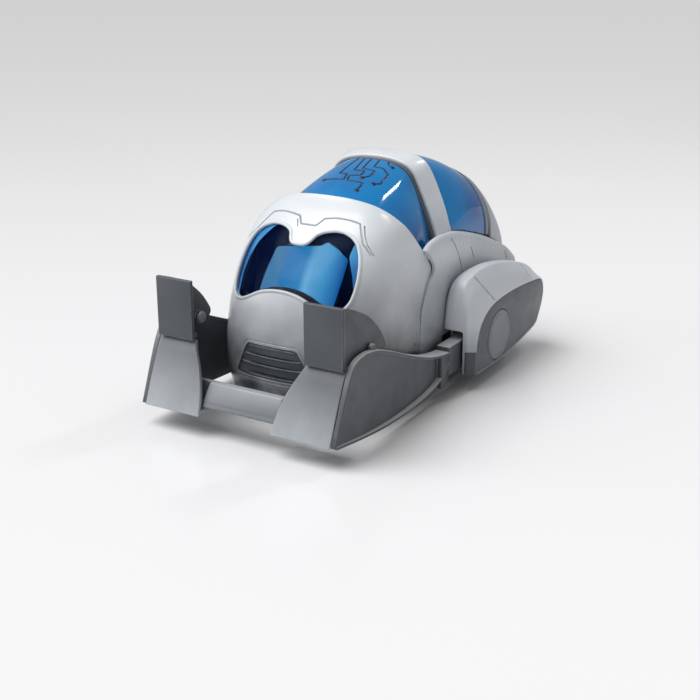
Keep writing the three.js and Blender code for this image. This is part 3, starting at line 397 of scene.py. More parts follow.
def material(name, base, alt, rough=(0.3, 0.45), metal=0.0, coat=0.0, coat_rough=0.06, ior=1.47, alpha=1.0,
             mott=22.0, grain=2600.0, grain_h=0.00002, edge_wear_and_highlight=None, edge_wear_and_highlight_amount=0.5, low=None, brushed=False, ramp_x=None, emit=0.0,
             speck=0.05, bump=0.35, top=None, lit=False, coat_ior=1.5):
    m = bpy.data.materials.new(name)
    m.use_nodes = True
    nt = m.node_tree
    N, L = nt.nodes, nt.links
    N.clear()
    out = N.new("ShaderNodeOutputMaterial")
    p = N.new("ShaderNodeBsdfPrincipled")
    L.new(p.outputs[0], out.inputs[0])
    tc = N.new("ShaderNodeTexCoord")
    coord = tc.outputs["Object"]

    def noise(scale, detail=3.0, stretch=None):
        n = N.new("ShaderNodeTexNoise")
        n.inputs["Scale"].default_value = scale
        n.inputs["Detail"].default_value = detail
        if stretch:
            mp = N.new("ShaderNodeMapping")
            mp.inputs["Scale"].default_value = stretch
            L.new(coord, mp.inputs["Vector"])
            L.new(mp.outputs[0], n.inputs["Vector"])
        else:
            L.new(coord, n.inputs["Vector"])
        return n.outputs[0]

    def span(src, a, b, c, d):
        r = N.new("ShaderNodeMapRange")
        r.inputs["From Min"].default_value = a
        r.inputs["From Max"].default_value = b
        r.inputs["To Min"].default_value = c
        r.inputs["To Max"].default_value = d
        L.new(src, r.inputs["Value"])
        return r.outputs[0]

    def mix(fac, a, b, kind="MIX"):
        x = N.new("ShaderNodeMix")
        x.data_type = "RGBA"
        x.blend_type = kind
        if isinstance(fac, (int, float)):
            x.inputs[0].default_value = fac
        else:
            L.new(fac, x.inputs[0])
        for v, s in ((a, x.inputs[6]), (b, x.inputs[7])):
            if isinstance(v, tuple):
                s.default_value = v
            else:
                L.new(v, s)
        return x.outputs[2]

    if ramp_x:
        sep = N.new("ShaderNodeSeparateXYZ")
        L.new(coord, sep.inputs[0])
        t = span(sep.outputs[0], ramp_x[0], ramp_x[1], 0, 1)
        cr = N.new("ShaderNodeValToRGB")
        L.new(t, cr.inputs[0])
        e = cr.color_ramp.elements
        for i, (pos, c) in enumerate(ramp_x[2]):
            el = e[i] if i < 2 else e.new(pos)
            el.position = pos
            el.color = lin(c)
        col = mix(span(noise(mott), 0.35, 0.7, 0, 0.5), cr.outputs[0], lin(alt))
    else:
        col = mix(span(noise(mott), 0.36, 0.66, 0, 1), lin(base), lin(alt))
    col = mix(span(noise(grain * 0.8, 2.0), 0.4, 0.75, 0, speck), col, (0.02, 0.02, 0.022, 1), "MIX")
    # painted shade: towards the bottom of the part (object z from z1 down to z0) the colour is blended toward c,
    # mottled by noise
    if low:
        z0, z1, amount, c = low
        sep = N.new("ShaderNodeSeparateXYZ")
        L.new(coord, sep.inputs[0])
        f = span(sep.outputs[2], z1, z0, 0, amount)
        mul = N.new("ShaderNodeMath")
        mul.operation = "MULTIPLY"
        L.new(f, mul.inputs[0])
        L.new(span(noise(70.0), 0.3, 0.7, 0.75, 1.1), mul.inputs[1])
        col = mix(mul.outputs[0], col, lin(c))
    bev = N.new("ShaderNodeBevel")
    bev.samples = 4
    bev.inputs["Radius"].default_value = 0.0006
    # edge wear and painted highlight: where the bevel normal leaves the face normal, rounded edges are blended toward a
    # lighter colour, partly rubbed plastic, partly the highlight the edges catch
    if edge_wear_and_highlight:
        g = N.new("ShaderNodeNewGeometry")
        dot = N.new("ShaderNodeVectorMath")
        dot.operation = "DOT_PRODUCT"
        L.new(bev.outputs[0], dot.inputs[0])
        L.new(g.outputs["Normal"], dot.inputs[1])
        mul = N.new("ShaderNodeMath")
        mul.operation = "MULTIPLY"
        L.new(span(dot.outputs["Value"], 0.985, 0.86, 0, edge_wear_and_highlight_amount), mul.inputs[0])
        L.new(span(noise(320.0), 0.35, 0.6, 0.35, 1.0), mul.inputs[1])
        col = mix(mul.outputs[0], col, lin(edge_wear_and_highlight))
    # painted light: faces turned upward are blended toward the top colour, as if lit from above
    if top:
        g = N.new("ShaderNodeNewGeometry")
        sep = N.new("ShaderNodeSeparateXYZ")
        L.new(g.outputs["Normal"], sep.inputs[0])
        col = mix(span(sep.outputs[2], 0.35, 0.9, 0, 0.9), col, lin(top))
    # a lit part keeps a fixed dark base colour, so its colour shows only through the emission below
    if lit:
        p.inputs["Base Color"].default_value = lin((10, 44, 84))
    else:
        L.new(col, p.inputs["Base Color"])
    L.new(span(noise(90.0, 4.0, (1, 1, 9) if brushed else None), 0.3, 0.7, rough[0], rough[1]), p.inputs["Roughness"])
    b = N.new("ShaderNodeBump")
    b.inputs["Strength"].default_value = bump
    b.inputs["Distance"].default_value = grain_h
    L.new(noise(grain, 2.0, (1, 1, 14) if brushed else None), b.inputs["Height"])
    L.new(bev.outputs[0], b.inputs["Normal"])
    L.new(b.outputs[0], p.inputs["Normal"])
    p.inputs["Metallic"].default_value = metal
    p.inputs["Coat Weight"].default_value = coat
    p.inputs["Coat Roughness"].default_value = coat_rough
    p.inputs["IOR"].default_value = ior
    p.inputs["Alpha"].default_value = alpha
    # painted light: emission makes the part glow with its own colour
    if emit:
        L.new(col, p.inputs["Emission Color"])
        p.inputs["Emission Strength"].default_value = emit
    return m


# the lighter edge colour of each material is partly edge wear, partly a painted highlight
MAT = {
    # painted shade: the white, fender and pod plastics are darkened towards the bottom of each part, the head shell
    # down to its chin
    "white": material("white_plastic", (222, 226, 230), (210, 215, 220), (0.26, 0.40), coat=0.25, coat_rough=0.18, low=(0.018, 0.080, 1.0, (46, 51, 58)), edge_wear_and_highlight=(244, 246, 248)),
    "fender": material("fender_plastic", (206, 211, 216), (192, 198, 204), (0.26, 0.40), coat=0.25, coat_rough=0.18, low=(0.016, 0.072, 0.85, (74, 80, 89)), edge_wear_and_highlight=(240, 243, 246)),
    "arch": material("arch_plastic", (220, 224, 228), (204, 209, 215), (0.24, 0.38), coat=0.3, coat_rough=0.15, edge_wear_and_highlight=(246, 247, 249)),
    "pod": material("pod_plastic", (206, 211, 216), (192, 198, 205), (0.28, 0.42), coat=0.2, coat_rough=0.2, low=(0.006, 0.036, 0.8, (84, 90, 99)), edge_wear_and_highlight=(240, 243, 246)),
    "rear": material("rear_plastic", (184, 190, 196), (168, 175, 182), (0.28, 0.42), coat=0.2, coat_rough=0.2, edge_wear_and_highlight=(220, 224, 228)),
    # painted light: the blue canopy tint glows faintly through emission
    "blue": material("blue_tint", (0, 130, 196), (0, 82, 150), (0.05, 0.11), coat=0.45, coat_rough=0.03, ior=1.36, alpha=0.9, emit=0.10, mott=16.0, grain_h=0.000006, bump=0.12, speck=0.02),
    "lens": material("visor_tint", (2, 26, 84), (1, 14, 52), (0.04, 0.08), coat=0.0, ior=1.22, alpha=0.14, mott=14.0, grain_h=0.000005, bump=0.1, speck=0.02),
    # painted light: the light-blue visor edge strips glow through emission
    "glow": material("visor_edge_blue", (62, 146, 202), (22, 96, 168), (0.16, 0.26), coat=0.4, coat_rough=0.08, emit=0.12, mott=40.0),
    # painted light: the face panel shows its colour only through emission, standing in for the light it would get
    # through the lens, and the bright step near 0.64 of the colour ramp along x is a painted highlight band
    "screen": material("face_panel", (54, 147, 202), (22, 116, 190), (0.4, 0.55), emit=0.95, mott=60.0, ior=1.3, lit=True,
                       ramp_x=(-0.0205, 0.0228, [(0.0, (72, 132, 168)), (0.27, (76, 138, 172)), (0.285, (34, 132, 192)), (0.55, (44, 146, 206)), (0.64, (118, 196, 238)), (0.84, (70, 164, 220)), (1.0, (14, 96, 172))])),
    "cavity": material("visor_liner_black", (8, 11, 17), (5, 7, 11), (0.5, 0.7)),
    # painted shade: the dark plastic is darkened slightly towards its bottom
    "dark": material("dark_plastic", (78, 82, 87), (70, 74, 79), (0.34, 0.50), edge_wear_and_highlight=(190, 194, 199), edge_wear_and_highlight_amount=1.0, low=(0.0, 0.03, 0.2, (52, 55, 60))),
    # painted light: upward faces of the arm plastic are painted lighter
    "arm": material("arm_plastic", (84, 88, 94), (74, 78, 84), (0.32, 0.48), edge_wear_and_highlight=(196, 200, 205), edge_wear_and_highlight_amount=0.9, top=(200, 203, 206)),
    "grille": material("grille_plastic", (76, 82, 90), (64, 70, 78), (0.32, 0.46), edge_wear_and_highlight=(150, 156, 164), edge_wear_and_highlight_amount=0.9),
    "panel": material("pod_panel_plastic", (86, 90, 97), (76, 80, 87), (0.34, 0.48), edge_wear_and_highlight=(140, 145, 152), edge_wear_and_highlight_amount=0.7),
    "gasket": material("gasket_rubber", (96, 102, 111), (82, 88, 97), (0.5, 0.66), grain_h=0.00003),
    "rear_gasket": material("rear_gasket_rubber", (150, 157, 166), (132, 139, 148), (0.45, 0.6)),
    "cap": material("cap_plastic", (118, 124, 133), (104, 110, 119), (0.3, 0.44), edge_wear_and_highlight=(178, 183, 190), edge_wear_and_highlight_amount=0.8),
    # the bottom blend makes the scoop lighter towards its bottom
    "ramp": material("scoop_plastic", (118, 122, 127), (108, 112, 117), (0.3, 0.44), edge_wear_and_highlight=(206, 210, 214), edge_wear_and_highlight_amount=0.9, low=(0.010, 0.036, 0.85, (178, 183, 188))),
    # painted light: upward faces of the beam plastic are painted lighter
    "beam": material("beam_plastic", (106, 111, 116), (96, 101, 106), (0.3, 0.44), edge_wear_and_highlight=(186, 190, 194), edge_wear_and_highlight_amount=0.8, top=(160, 165, 170)),
    "mid": material("mid_plastic", (150, 155, 160), (136, 141, 147), (0.32, 0.46), edge_wear_and_highlight=(205, 209, 214)),
    "black": material("black_plastic", (34, 36, 40), (26, 28, 31), (0.42, 0.58), edge_wear_and_highlight=(80, 84, 90), edge_wear_and_highlight_amount=0.35),
    "rubber": material("tyre_rubber", (27, 28, 30), (20, 21, 23), (0.72, 0.9), grain=1800.0, grain_h=0.00006, bump=0.6),
    "steel": material("brushed_steel", (186, 190, 196), (168, 172, 178), (0.22, 0.4), metal=1.0, brushed=True, edge_wear_and_highlight=(214, 217, 222)),
    "brass": material("brass", (196, 160, 92), (176, 138, 72), (0.25, 0.42), metal=1.0, brushed=True),
    "pcb": material("board_green", (20, 92, 58), (14, 70, 44), (0.32, 0.5), coat=0.3, mott=260.0),
    "cell": material("cell_wrap", (92, 120, 70), (74, 100, 56), (0.28, 0.42), coat=0.4, mott=60.0),
    "gearc": material("gear_nylon", (226, 221, 206), (212, 206, 190), (0.42, 0.56)),
    "trace": material("trace_ink", (5, 16, 42), (3, 10, 28), (0.24, 0.36), coat=0.3),
}

# --------------------------------------------------------------- piece helper


def piece(name, b, mat, body="chassis", replaces=(), angle=34):
    V = np.clip(np.array(b[0], float), BOX_LO, BOX_HI) * 0.001
    me = bpy.data.meshes.new(name)
    me.from_pydata([tuple(map(float, p)) for p in V], [], b[1])
    me.validate()
    me.update()
    me.shade_smooth()
    me.set_sharp_from_angle(angle=math.radians(angle))
    me.materials.append(MAT[mat])
    o = bpy.data.objects.new(name, me)
    bpy.context.scene.collection.objects.link(o)
    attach(o, body)
    if replaces:
        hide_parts(*replaces)
    return o


def sides(name, b, mat, bodies=("chassis", "chassis"), replaces=True, angle=34):
    piece(f"{name}_left_skin", b, mat, bodies[0], (f"{name}_left",) if replaces else (), angle)
    piece(f"{name}_right_skin", mirrored(b), mat, bodies[1], (f"{name}_right",) if replaces else (), angle)


# ------------------------------------------------------------------- the head
HEAD_Y0, HEAD_N = -20.0, 2.55
head_front = pchip([8, 20, 36, 50, 65, 76, 84.7, 92, 98, 103.3, 107], [-72, -76.0, -76.4, -73.6, -67.0, -59.5, -51.5, -42.5, -33.8, -24.8, -21.5])
head_half = pchip([8, 30, 50, 68, 80, 89.2, 96.3, 100.2, 103.3, 107], [44.5, 46.3, 45.6, 44, 42, 39.2, 33, 26.5, 17, 4])


def head_ring(z, inset, y_back, m=64):
    W, D = max(head_half(z) - inset, 1.5), max(HEAD_Y0 - head_front(z) - inset, 0.6)
    r = []
    for i in range(m + 1):
        a = i / m * math.pi
        c, s = math.cos(a), math.sin(a)
        r.append((W * math.copysign(abs(c) ** (2 / HEAD_N), c), HEAD_Y0 - D * abs(s) ** (2 / HEAD_N), z))
    for k in range(1, 5):
        r.append((-W, HEAD_Y0 + (y_back - HEAD_Y0) * k / 4, z))
    for k in range(4, 0, -1):
        r.append((W, HEAD_Y0 + (y_back - HEAD_Y0) * k / 4, z))
    return r


HZ = list(np.linspace(8.2, 80, 34)) + list(np.linspace(81.6, 104.6, 24))


def head_solid(inset, y_back, z0=8.2, m=64):
    def zz(i, z):
        if i == 0:
            return z0
        s = min(1, max(0, (z - 80) / 14))
        return z - inset * s
    return loft([head_ring(zz(i, z), inset, y_back, m) for i, z in enumerate(HZ)])


def head_y(x, z, inset=0.0):
    W, D = max(head_half(z) - inset, 1.5), max(HEAD_Y0 - head_front(z) - inset, 0.6)
    return HEAD_Y0 - D * max(0.0, 1 - abs(x / W) ** HEAD_N) ** (1 / HEAD_N)


def head_point(x, z, inset=0.0):
    e = 0.25
    p = np.array([x, head_y(x, z, inset), z])
    a = np.array([2 * e, head_y(x + e, z, inset) - head_y(x - e, z, inset), 0])
    b = np.array([0, head_y(x, z + e, inset) - head_y(x, z - e, inset), 2 * e])
    n = np.cross(a, b)
    n /= np.linalg.norm(n)
    return p, (n if n[1] < 0 else -n)


REAR = np.array([[-13.1, 4], [-13.1, 28], [-12.7, 34.7], [-11.3, 47.9], [-5.0, 58.2], [1.6, 65.4], [1.3, 68.2], [-24.8, 103.3], [-32.5, 113.7]], float)


def rear_edge(d):
    low = catmull(REAR[:7], 6)
    return [(y + d, z) for y, z in np.vstack([low, REAR[7:]])]


def ahead(d):
    return rear_edge(d) + [(-120, 113.7), (-120, 4)]


def behind(d, far=140):
    return rear_edge(d) + [(far, 113.7), (far, 4)]


VISOR_HALF = [[0, 84.7], [3.6, 84.9], [5.6, 86.5], [7.0, 89.0], [10.5, 90.5], [15.5, 91.3], [20.5, 91], [25.3, 89.2], [29, 86.4], [31.4, 82.4], [33, 77.8], [33.9, 72.3], [34.1, 67], [33.5, 62.2], [31.8, 59.0], [28, 57.5], [23, 57.8], [18, 59.9], [13.5, 62.3], [8.8, 63.9], [4, 64.6], [0, 64.8]]


def full(h):
    h = [tuple(p) for p in h]
    return h + [(-x, z) for x, z in reversed(h[1:-1])]


VISOR = full(VISOR_HALF)
VISOR_S = fillet(VISOR, 1.6, 4)
GRILLE = [[-21.5, 22.8], [21.5, 22.8], [22.2, 24.3], [14.9, 38.3], [13.5, 39.6], [-13.5, 39.6], [-14.9, 38.3], [-22.2, 24.3]]

head_full = head_solid(0, 30)
head = cut(head_full, head_solid(2.2, 40, 2), label="head wall")
head = common(head, prism("x", ahead(0), -60, 60), label="head rear")
head = cut(head, prism("y", VISOR_S, -95, -30), prism("y", fillet(GRILLE, 1.2, 3), -95, -60), label="head openings")
# rolled lip round the visor
lip = resample(np.array(list(VISOR_S) + [VISOR_S[0]]), 1.2)[:-1]
lp, ln = zip(*[head_point(x, z) for x, z in lip])
ring = [(0.95 * math.cos(t), -0.35 + 0.85 * math.sin(t)) for t in np.linspace(0, 2 * math.pi, 13)[:-1]]
head = join(head, sweep(lp, ln, ring, closed=True), label="visor lip")
# brow line: a stepped channel pressed into the shell
head_tree = tree_of(head_full)
BROW = [(-35.4, 81.6), (-30.3, 85.8), (-27.4, 90.0), (-24.2, 94.4), (-20.5, 95.3), (-17.2, 95.6), (-11.6, 95.4), (-7.2, 94.9), (-4, 92.1), (4.4, 92.1), (7.2, 95.1), (13.4, 95.7), (19.6, 95.3), (25.2, 94.2), (28.2, 90.4), (31.0, 86.2), (35.4, 81.6)]
head = cut(head, channel(head_tree, [head_point(x, z)[0] for x, z in BROW], 1.15, 1.2), label="brow")
head = cut(head, channel(head_tree, [head_point(x, z)[0] for x, z in [(-7.4, 93.6), (-5.2, 91.0)]], 0.7, 0.8), label="brow tick")
BROW2 = [(27.6, 93.4), (30.4, 89.2), (33.0, 85.6), (36.4, 81.2)]
head = cut(head, channel(head_tree, [head_point(x, z)[0] for x, z in BROW2], 0.8, 1.0), label="brow double")
# a pressed line round the grille frame
GR = fillet(grow(GRILLE, 1.5), 1.5, 3)
gp = resample(np.array(list(GR) + [GR[0]]), 1.2)[:-1]
a, b = zip(*[head_point(x, z) for x, z in gp])
head = cut(head, sweep(a, b, [(-0.18, -0.3), (0.18, -0.3), (0.3, 0.6), (-0.3, 0.6)], closed=True), label="grille line")
piece("head_shell_skin", head, "white", replaces=["head_shell"], angle=38)


def head_band(inset, wall, outline, z0, z1, y_far=-30, m=64, rows=30):
    zs = np.linspace(z0, z1, rows)
    o = loft([head_ring(z, inset, 0, m) for z in zs])
    i = loft([head_ring(z - 2 if k == 0 else z + 2 if k == rows - 1 else z, inset + wall, 10, m) for k, z in enumerate(zs)])
    return common(cut(o, i, label="band"), prism("y", outline, -95, y_far), label="band outline")


piece("visor_lens_skin", head_band(2.5, 1.4, grow(VISOR_S, 1.6), 52, 95.5), "lens", replaces=["visor_lens"])
SCREEN = [(-16.5, 79.6), (-17.2, 75), (-18.1, 70.4), (-19.4, 62), (-20.0, 57), (21.6, 57), (22.6, 69.3), (22.4, 77.6), (16.3, 81.9), (9.9, 84.3), (8.0, 82.6), (-5, 81.2)]
piece("face_screen_skin", head_band(9.5, 1.6, fillet(SCREEN, 1.2, 3), 52, 90, -38), "screen", replaces=["face_screen"])
# light-blue edge strips behind the lens, which glow through emission (painted light), and a black liner that closes the
# cavity
strip_left = [(-13.6, 92.5), (-20, 88.6), (-25.6, 81.6), (-28.6, 74), (-29.8, 66.4), (-29.2, 58.0), (-28, 55), (-38, 55), (-38, 93), (-20, 95)]
strip_right = [(26.8, 91), (26.4, 81.1), (30.2, 73), (32.6, 64.7), (33.2, 57.5), (39, 56), (39, 90)]
for nm, o in (("visor_strip_left", strip_left), ("visor_strip_right", strip_right)):
    piece(nm, head_band(2.22, 0.25, fillet(o, 1.5, 4), 53, 94.5, -22), "glow")
liner = head_band(5.4, 0.8, [(-50, 50.5), (50, 50.5), (50, 93.6), (-50, 93.6)], 49, 96, -14)
liner = cut(liner, prism("y", grow(VISOR_S, -0.4), -95, -30), label="liner window")
piece("visor_liner", liner, "cavity")
BACK = []
for z in np.linspace(51, 92, 22):
    BACK.append((head_half(z) - 6.6, z))
back = prism("y", [(x, z) for x, z in BACK] + [(-x, z) for x, z in reversed(BACK)], -35.0, -34.2)
piece("visor_back_wall", common(back, head_solid(6.6, 0), label="back wall"), "cavity")
shelf = common(head_solid(4.6, 0), box(-60, 60, -90, -35.4, 51.2, 52.2), label="shelf")
shelf = cut(shelf, box(-16, 16, -42, -33, 48, 60), label="shelf notch")
piece("visor_floor", shelf, "cavity")

# grille insert with louvres
zs = np.linspace(18, 41, 16)
gi = cut(loft([head_ring(z, 0.7, 0) for z in zs]), loft([head_ring(z - 4 if k == 0 else z + 3 if k == 15 else z, 2.6, 10) for k, z in enumerate(zs)]), label="grille")
gi = common(gi, prism("y", fillet(grow(GRILLE, -0.3), 1.0, 3), -95, -60), label="grille outline")
for z, w in ((29.6, 18.2), (34.2, 15.6)):
    gi = cut(gi, prism("x", [(-90, z - 0.1), (-74.3, z - 0.1), (-74.3, z + 0.7), (-90, z + 0.9)], -w, w), label="louvre")
gi = cut(gi, box(-19.6, 19.6, -90, -74.3, 23.9, 25.6), label="grille slot")
for z, w in ((29.2, 18.4), (33.8, 15.8), (38.4, 13.2)):
    pts = [head_point(x, z, 0.6) for x in np.linspace(-w, w, 21)]
    gi = join(gi, sweep([p for p, n in pts], [n for p, n in pts], [(0.32 * math.cos(t), -0.05 + 0.42 * math.sin(t)) for t in np.linspace(0, 2 * math.pi, 9)[:-1]]), label="slat")
piece("grille_insert_skin", gi, "grille", replaces=["grille_insert"])

# ------------------------------------------------------------------ the canopy
frontA = [[0, 100.6], [8, 100.1], [15, 99.0], [22, 96.9], [28.2, 93.4], [33.0, 88.9], [36.4, 83.4], [38.6, 77], [39.8, 71], [40.2, 66]]
frontB = [[0, 114.4], [8.5, 113.9], [15.5, 112.0], [21, 108.6], [24.2, 104], [27.5, 97], [30.6, 89], [33.2, 81.5], [34.6, 74.5], [35.2, 66]]
rearA = [[0, 115.9], [8.5, 115.6], [15.5, 114.6], [21.0, 112.4], [25.2, 108.2], [28.6, 102.2], [32.0, 94.6], [35.0, 86.6], [37.3, 79.3], [38.0, 70]]
rearB = [[0, 103.2], [8.5, 102.8], [15.5, 101.7], [21.5, 99.6], [27, 96.2], [31.4, 91.6], [34.8, 86.2], [37.2, 80.2], [38.4, 74], [38.6, 64]]


def half(f, n=5):
    f = catmull(f, n)
    f[0][0] = 0
    return np.vstack([f[1:][::-1], f * [-1, 1]])


def canopy_grid(A, B, yA, yB, bulge, rows, t0=0.0, t1=1.0):
    a, b, g = half(A), half(B), []
    for i in range(rows + 1):
        t = t0 + (t1 - t0) * i / rows
        row = []
        for p, q in zip(a, b):
            k = bulge * 4 * t * (1 - t)
            w = min(1, max(0, ((p[1] + q[1]) / 2 - 66) / 20))
            l = math.hypot(p[0] + q[0], 60)
            row.append((p[0] + (q[0] - p[0]) * t + k * w * (p[0] + q[0]) / l, yA(p) + (yB(q) - yA(p)) * t, p[1] + (q[1] - p[1]) * t + k * w * 60 / l))
        g.append(row)
    return g


def plane_y(p):
    return -24.8 + 0.744 * (103.3 - p[1]) - 4.2


canopy_front = sheet(canopy_grid(frontA, frontB, plane_y, lambda q: 17.9, 1.2, 26), 1.8)
piece("canopy_front_skin", canopy_front, "blue", replaces=["canopy_front"])
canopy_tree = tree_of(canopy_front)


def on_canopy(x, y):
    loc, n, _, _ = canopy_tree.ray_cast(Vector((x, y, 130)), Vector((0, 0, -1)))
    return np.array(loc), np.array(n)


TRACES = [
    [(-7.6, 17.5), (-7.9, -0.8), (-3.3, -1.2), (-1.7, -7.0), (-13.0, -7.2)],
    [(-3.9, 17.5), (-1.8, 3.1), (4.3, 3.5), (4.7, -0.6), (-0.9, -3.0), (0.7, -7.5), (9.6, -7.1), (10.0, -13.8)],
    [(0.0, 17.5), (1.7, 5.9), (9.1, 5.7), (9.2, 0.0), (6.6, -2.9)],
    [(4.8, 17.5), (6.3, 9.2), (11.2, 10.3), (16.0, 6.8), (16.8, -2.4), (14.3, -4.7)],
    [(10.2, 17.5), (11.4, 15.0), (14.2, 14.4)],
]
for k, tr in enumerate(TRACES):
    path = resample(tr, 0.8)
    q = [on_canopy(x, y) for x, y in path]
    strip = sweep([a for a, n in q], [n for a, n in q], [(-0.5, -0.25), (0.5, -0.25), (0.44, 0.16), (0.34, 0.22), (-0.34, 0.22), (-0.44, 0.16)])
    c, n = on_canopy(*tr[-1])
    u = np.cross(n, [0, 1, 0])
    u /= np.linalg.norm(u)
    v = np.cross(n, u)
    dot = loft([[c + n * h + (u * math.cos(t) + v * math.sin(t)) * r for t in np.linspace(0, 2 * math.pi, 25)[:-1]] for h, r in ((-0.25, 1.25), (0.2, 1.25), (0.32, 1.05))])
    piece(f"canopy_trace_{k + 1}", join(strip, dot, label="trace"), "trace")

# the fender volume is used by several cuts
ridge = pchip([-16, -6.5, 3, 10.1, 23.8, 40.3, 60.9, 82.8, 94.4, 102.6], [70, 76.1, 80.7, 81.4, 80.7, 77.1, 71, 62.6, 57.2, 51.6])
inner_z = pchip([-16, -5, 8.7, 25.8, 40, 57, 78, 102.6], [62, 66, 71.5, 77, 76.4, 72.6, 66.3, 55.0])
FY = list(np.linspace(-16, 30, 40)) + list(np.linspace(31.5, 102.4, 44))


def fender_path(y, inset):
    zr, zi, o = ridge(y) - inset, inner_z(y) - inset, 46.4 - inset
    return [(o, 28.5), (o, zr - 9.5), (o - 0.5, zr - 4.6), (o - 1.4, zr - 1.8), (o - 3.0, zr - 0.2), (o - 5.2, zr - 0.4 - (zr - zi) * 0.12), (o - 7.8, zi + (zr - zi) * 0.32), (36.3, zi)]


def fender_solid(inset, low, in_x):
    rings = []
    for k, y in enumerate(FY):
        yy = y - inset * 3 if k == 0 else y + inset * 3 if k == len(FY) - 1 else y
        p = fender_path(y, inset)
        p[7] = (in_x, p[7][1])
        p[0] = (p[0][0], low)
        p.append((in_x, low))
        p = fillet(p, [0, 2, 3, 3, 3, 3, 3, 0, 0], 4)
        rings.append([(x, yy, z) for x, z in p])
    return loft(rings)


def fender_grown(d):
    rings = []
    for y in FY[::2] + [FY[-1]]:
        p = [(x + d if i < 3 else x, z + d * 1.25) for i, (x, z) in enumerate(fender_path(y, 0))]
        p[7] = (36.3 - d, p[7][1])
        p[0] = (p[0][0], 28)
        p.append((36.3 - d, 28))
        rings.append([(x, y, z) for x, z in p])
    return loft(rings)


GL = fender_grown(0.35)
GR_ = mirrored(GL)
fender_outer = fender_solid(0, 28.5, 36.3)
fender = cut(fender_outer, fender_solid(1.8, 20, 30), label="fender wall")
fender = common(fender, prism("x", behind(0.22), 30, 60), label="fender front")
skirt = fillet([(-12.7, 29.6), (-12.7, 22.0), (-10.6, 20.2), (9.4, 20.2), (11.1, 22.0), (11.1, 29.6)], [0, 1.5, 1.5, 1.5, 1.5, 0], 4)
fender = join(fender, prism("x", skirt, 44.62, 46.4), label="fender skirt")
tree = tree_of(fender_outer)
for s, w, d in ([(45.4, 20.5, 77.9), (46.1, 23.3, 74.4), (46.4, 27, 69), (46.4, 30.3, 62.9), (46.4, 33, 56.9)], 1.0, 1.2), ([(46.2, 42.3, 68.9), (46.4, 43.9, 65.9), (46.4, 46.3, 61.9)], 1.0, 1.2), ([(45.7, 87.1, 56.8), (46.3, 89.3, 51.4)], 1.0, 1.2):
    fender = cut(fender, channel(tree, s, w, d), label="fender seam")
sides("fender", fender, "fender", angle=38)

cr = sheet(canopy_grid(rearA, rearB, lambda p: 32.9, lambda q: 75.4, 2.2, 30), 1.8)
cr = cut(cr, GL, GR_, box(-60, 60, 20, 90, 50, 64.5), label="canopy rear")
piece("canopy_rear_skin", cr, "blue", replaces=["canopy_rear"])
# moulded ribs inside the rear canopy
for k, (t, w) in enumerate(((0.30, 0.03), (0.62, 0.03))):
    A, B = np.array(rearA, float), np.array(rearB, float)
    g = canopy_grid(A * [0.945, 1] - [0, 2.6], B * [0.945, 1] - [0, 2.6], lambda p: 32.9, lambda q: 75.4, 2.2, 3, t, t + w)
    rib = cut(sheet(g, 2.2), fender_grown(0.8), mirrored(fender_grown(0.8)), box(-60, 60, 20, 90, 50, 66), label="rib")
    piece(f"canopy_rib_{k + 1}", rib, "black")

archOuter = [[41.6, 74], [40.1, 79], [36.7, 89.9], [32.6, 99.8], [28.6, 107.9], [25.2, 112.7], [20.8, 115.6], [14.1, 117.2], [5.3, 118], [0, 118]]
archFront = [[38.8, 74], [37.2, 79], [34.0, 87.5], [29.8, 96.8], [26.4, 104.0], [23.4, 109.5], [18.6, 113.1], [10.6, 115.4], [4.5, 116.1], [0, 116.2]]


def half0(f):
    f = np.array(f, float)
    return np.vstack([f[:-1], f[::-1] * [-1, 1]])


def shrink(f, d):
    f = [tuple(p) for p in f]
    n = grow(f + [(-x, z) for x, z in reversed(f[:-1])], -d)[: len(f)]
    n[-1][0] = 0
    n[0][1] = f[0][1]
    return n


def strip_grid(f0, f1, y0, y1, rows=10, bulge=0.0):
    a, b = half0(f0), half0(f1)
    return [[(p[0] + (q[0] - p[0]) * t, y0 + (y1 - y0) * t, p[1] + (q[1] - p[1]) * t) for p, q in zip(a, b)] for t in np.linspace(0, 1, rows)]


AO, AF = catmull(archOuter, 6), catmull(archFront, 6)
AO[-1][0] = AF[-1][0] = 0
arch = bevel(sheet(strip_grid(AF, AO, 20.4, 31.6, 2), 2.8), 0.8, 50, 4)
arch = cut(arch, GL, GR_, box(-60, 60, 0, 60, 60, 75.2), label="arch")
piece("arch_bar_skin", arch, "arch", replaces=["arch_bar"])
ag = shrink(AF, 1.6)
ag = bevel(sheet(strip_grid(ag, ag, 18.5, 20.1, 2), 3.0), 0.35, 50, 3)
ag = cut(ag, GL, GR_, box(-60, 60, 0, 60, 60, 76.2), label="arch gasket")
piece("arch_gasket_skin", ag, "gasket", replaces=["arch_gasket"])


def grow_half(f, d):
    r = [tuple(p) for p in reversed([tuple(p) for p in f])]
    n = grow(r + [(-x, z) for x, z in reversed(r[:-1])], d)[: len(r)]
    n[-1][0] = 0
    return n[::-1]


RB = catmull(rearB, 6)
RB[0][0] = 0
rb, rc = grow_half(RB, 0.8)[::-1], grow_half(RB, 0.2)[::-1]
rg = sheet([[(x, 75.9, z) for x, z in half0(rb)], [(x, 80.2, z - 2.2) for x, z in half0(rc)]], 3.0)
rg = bevel(rg, 0.5, 50, 3)
rg = common(cut(rg, GL, GR_, box(-60, 60, 60, 90, 50, 67), label="rear gasket"), box(-60, 60, 75.8, 80.2, 0, 130), label="rear gasket box")
piece("rear_gasket_skin", rg, "rear_gasket", replaces=["rear_gasket"])
top = grow_half(RB, 1.2)[::-1]


def rear_ring(y, s, zt, zb):
    return np.array([(x * s, y, zb + (zt - zb) * max(0, (z - 64) / 41.6)) for x, z in half0(top)])


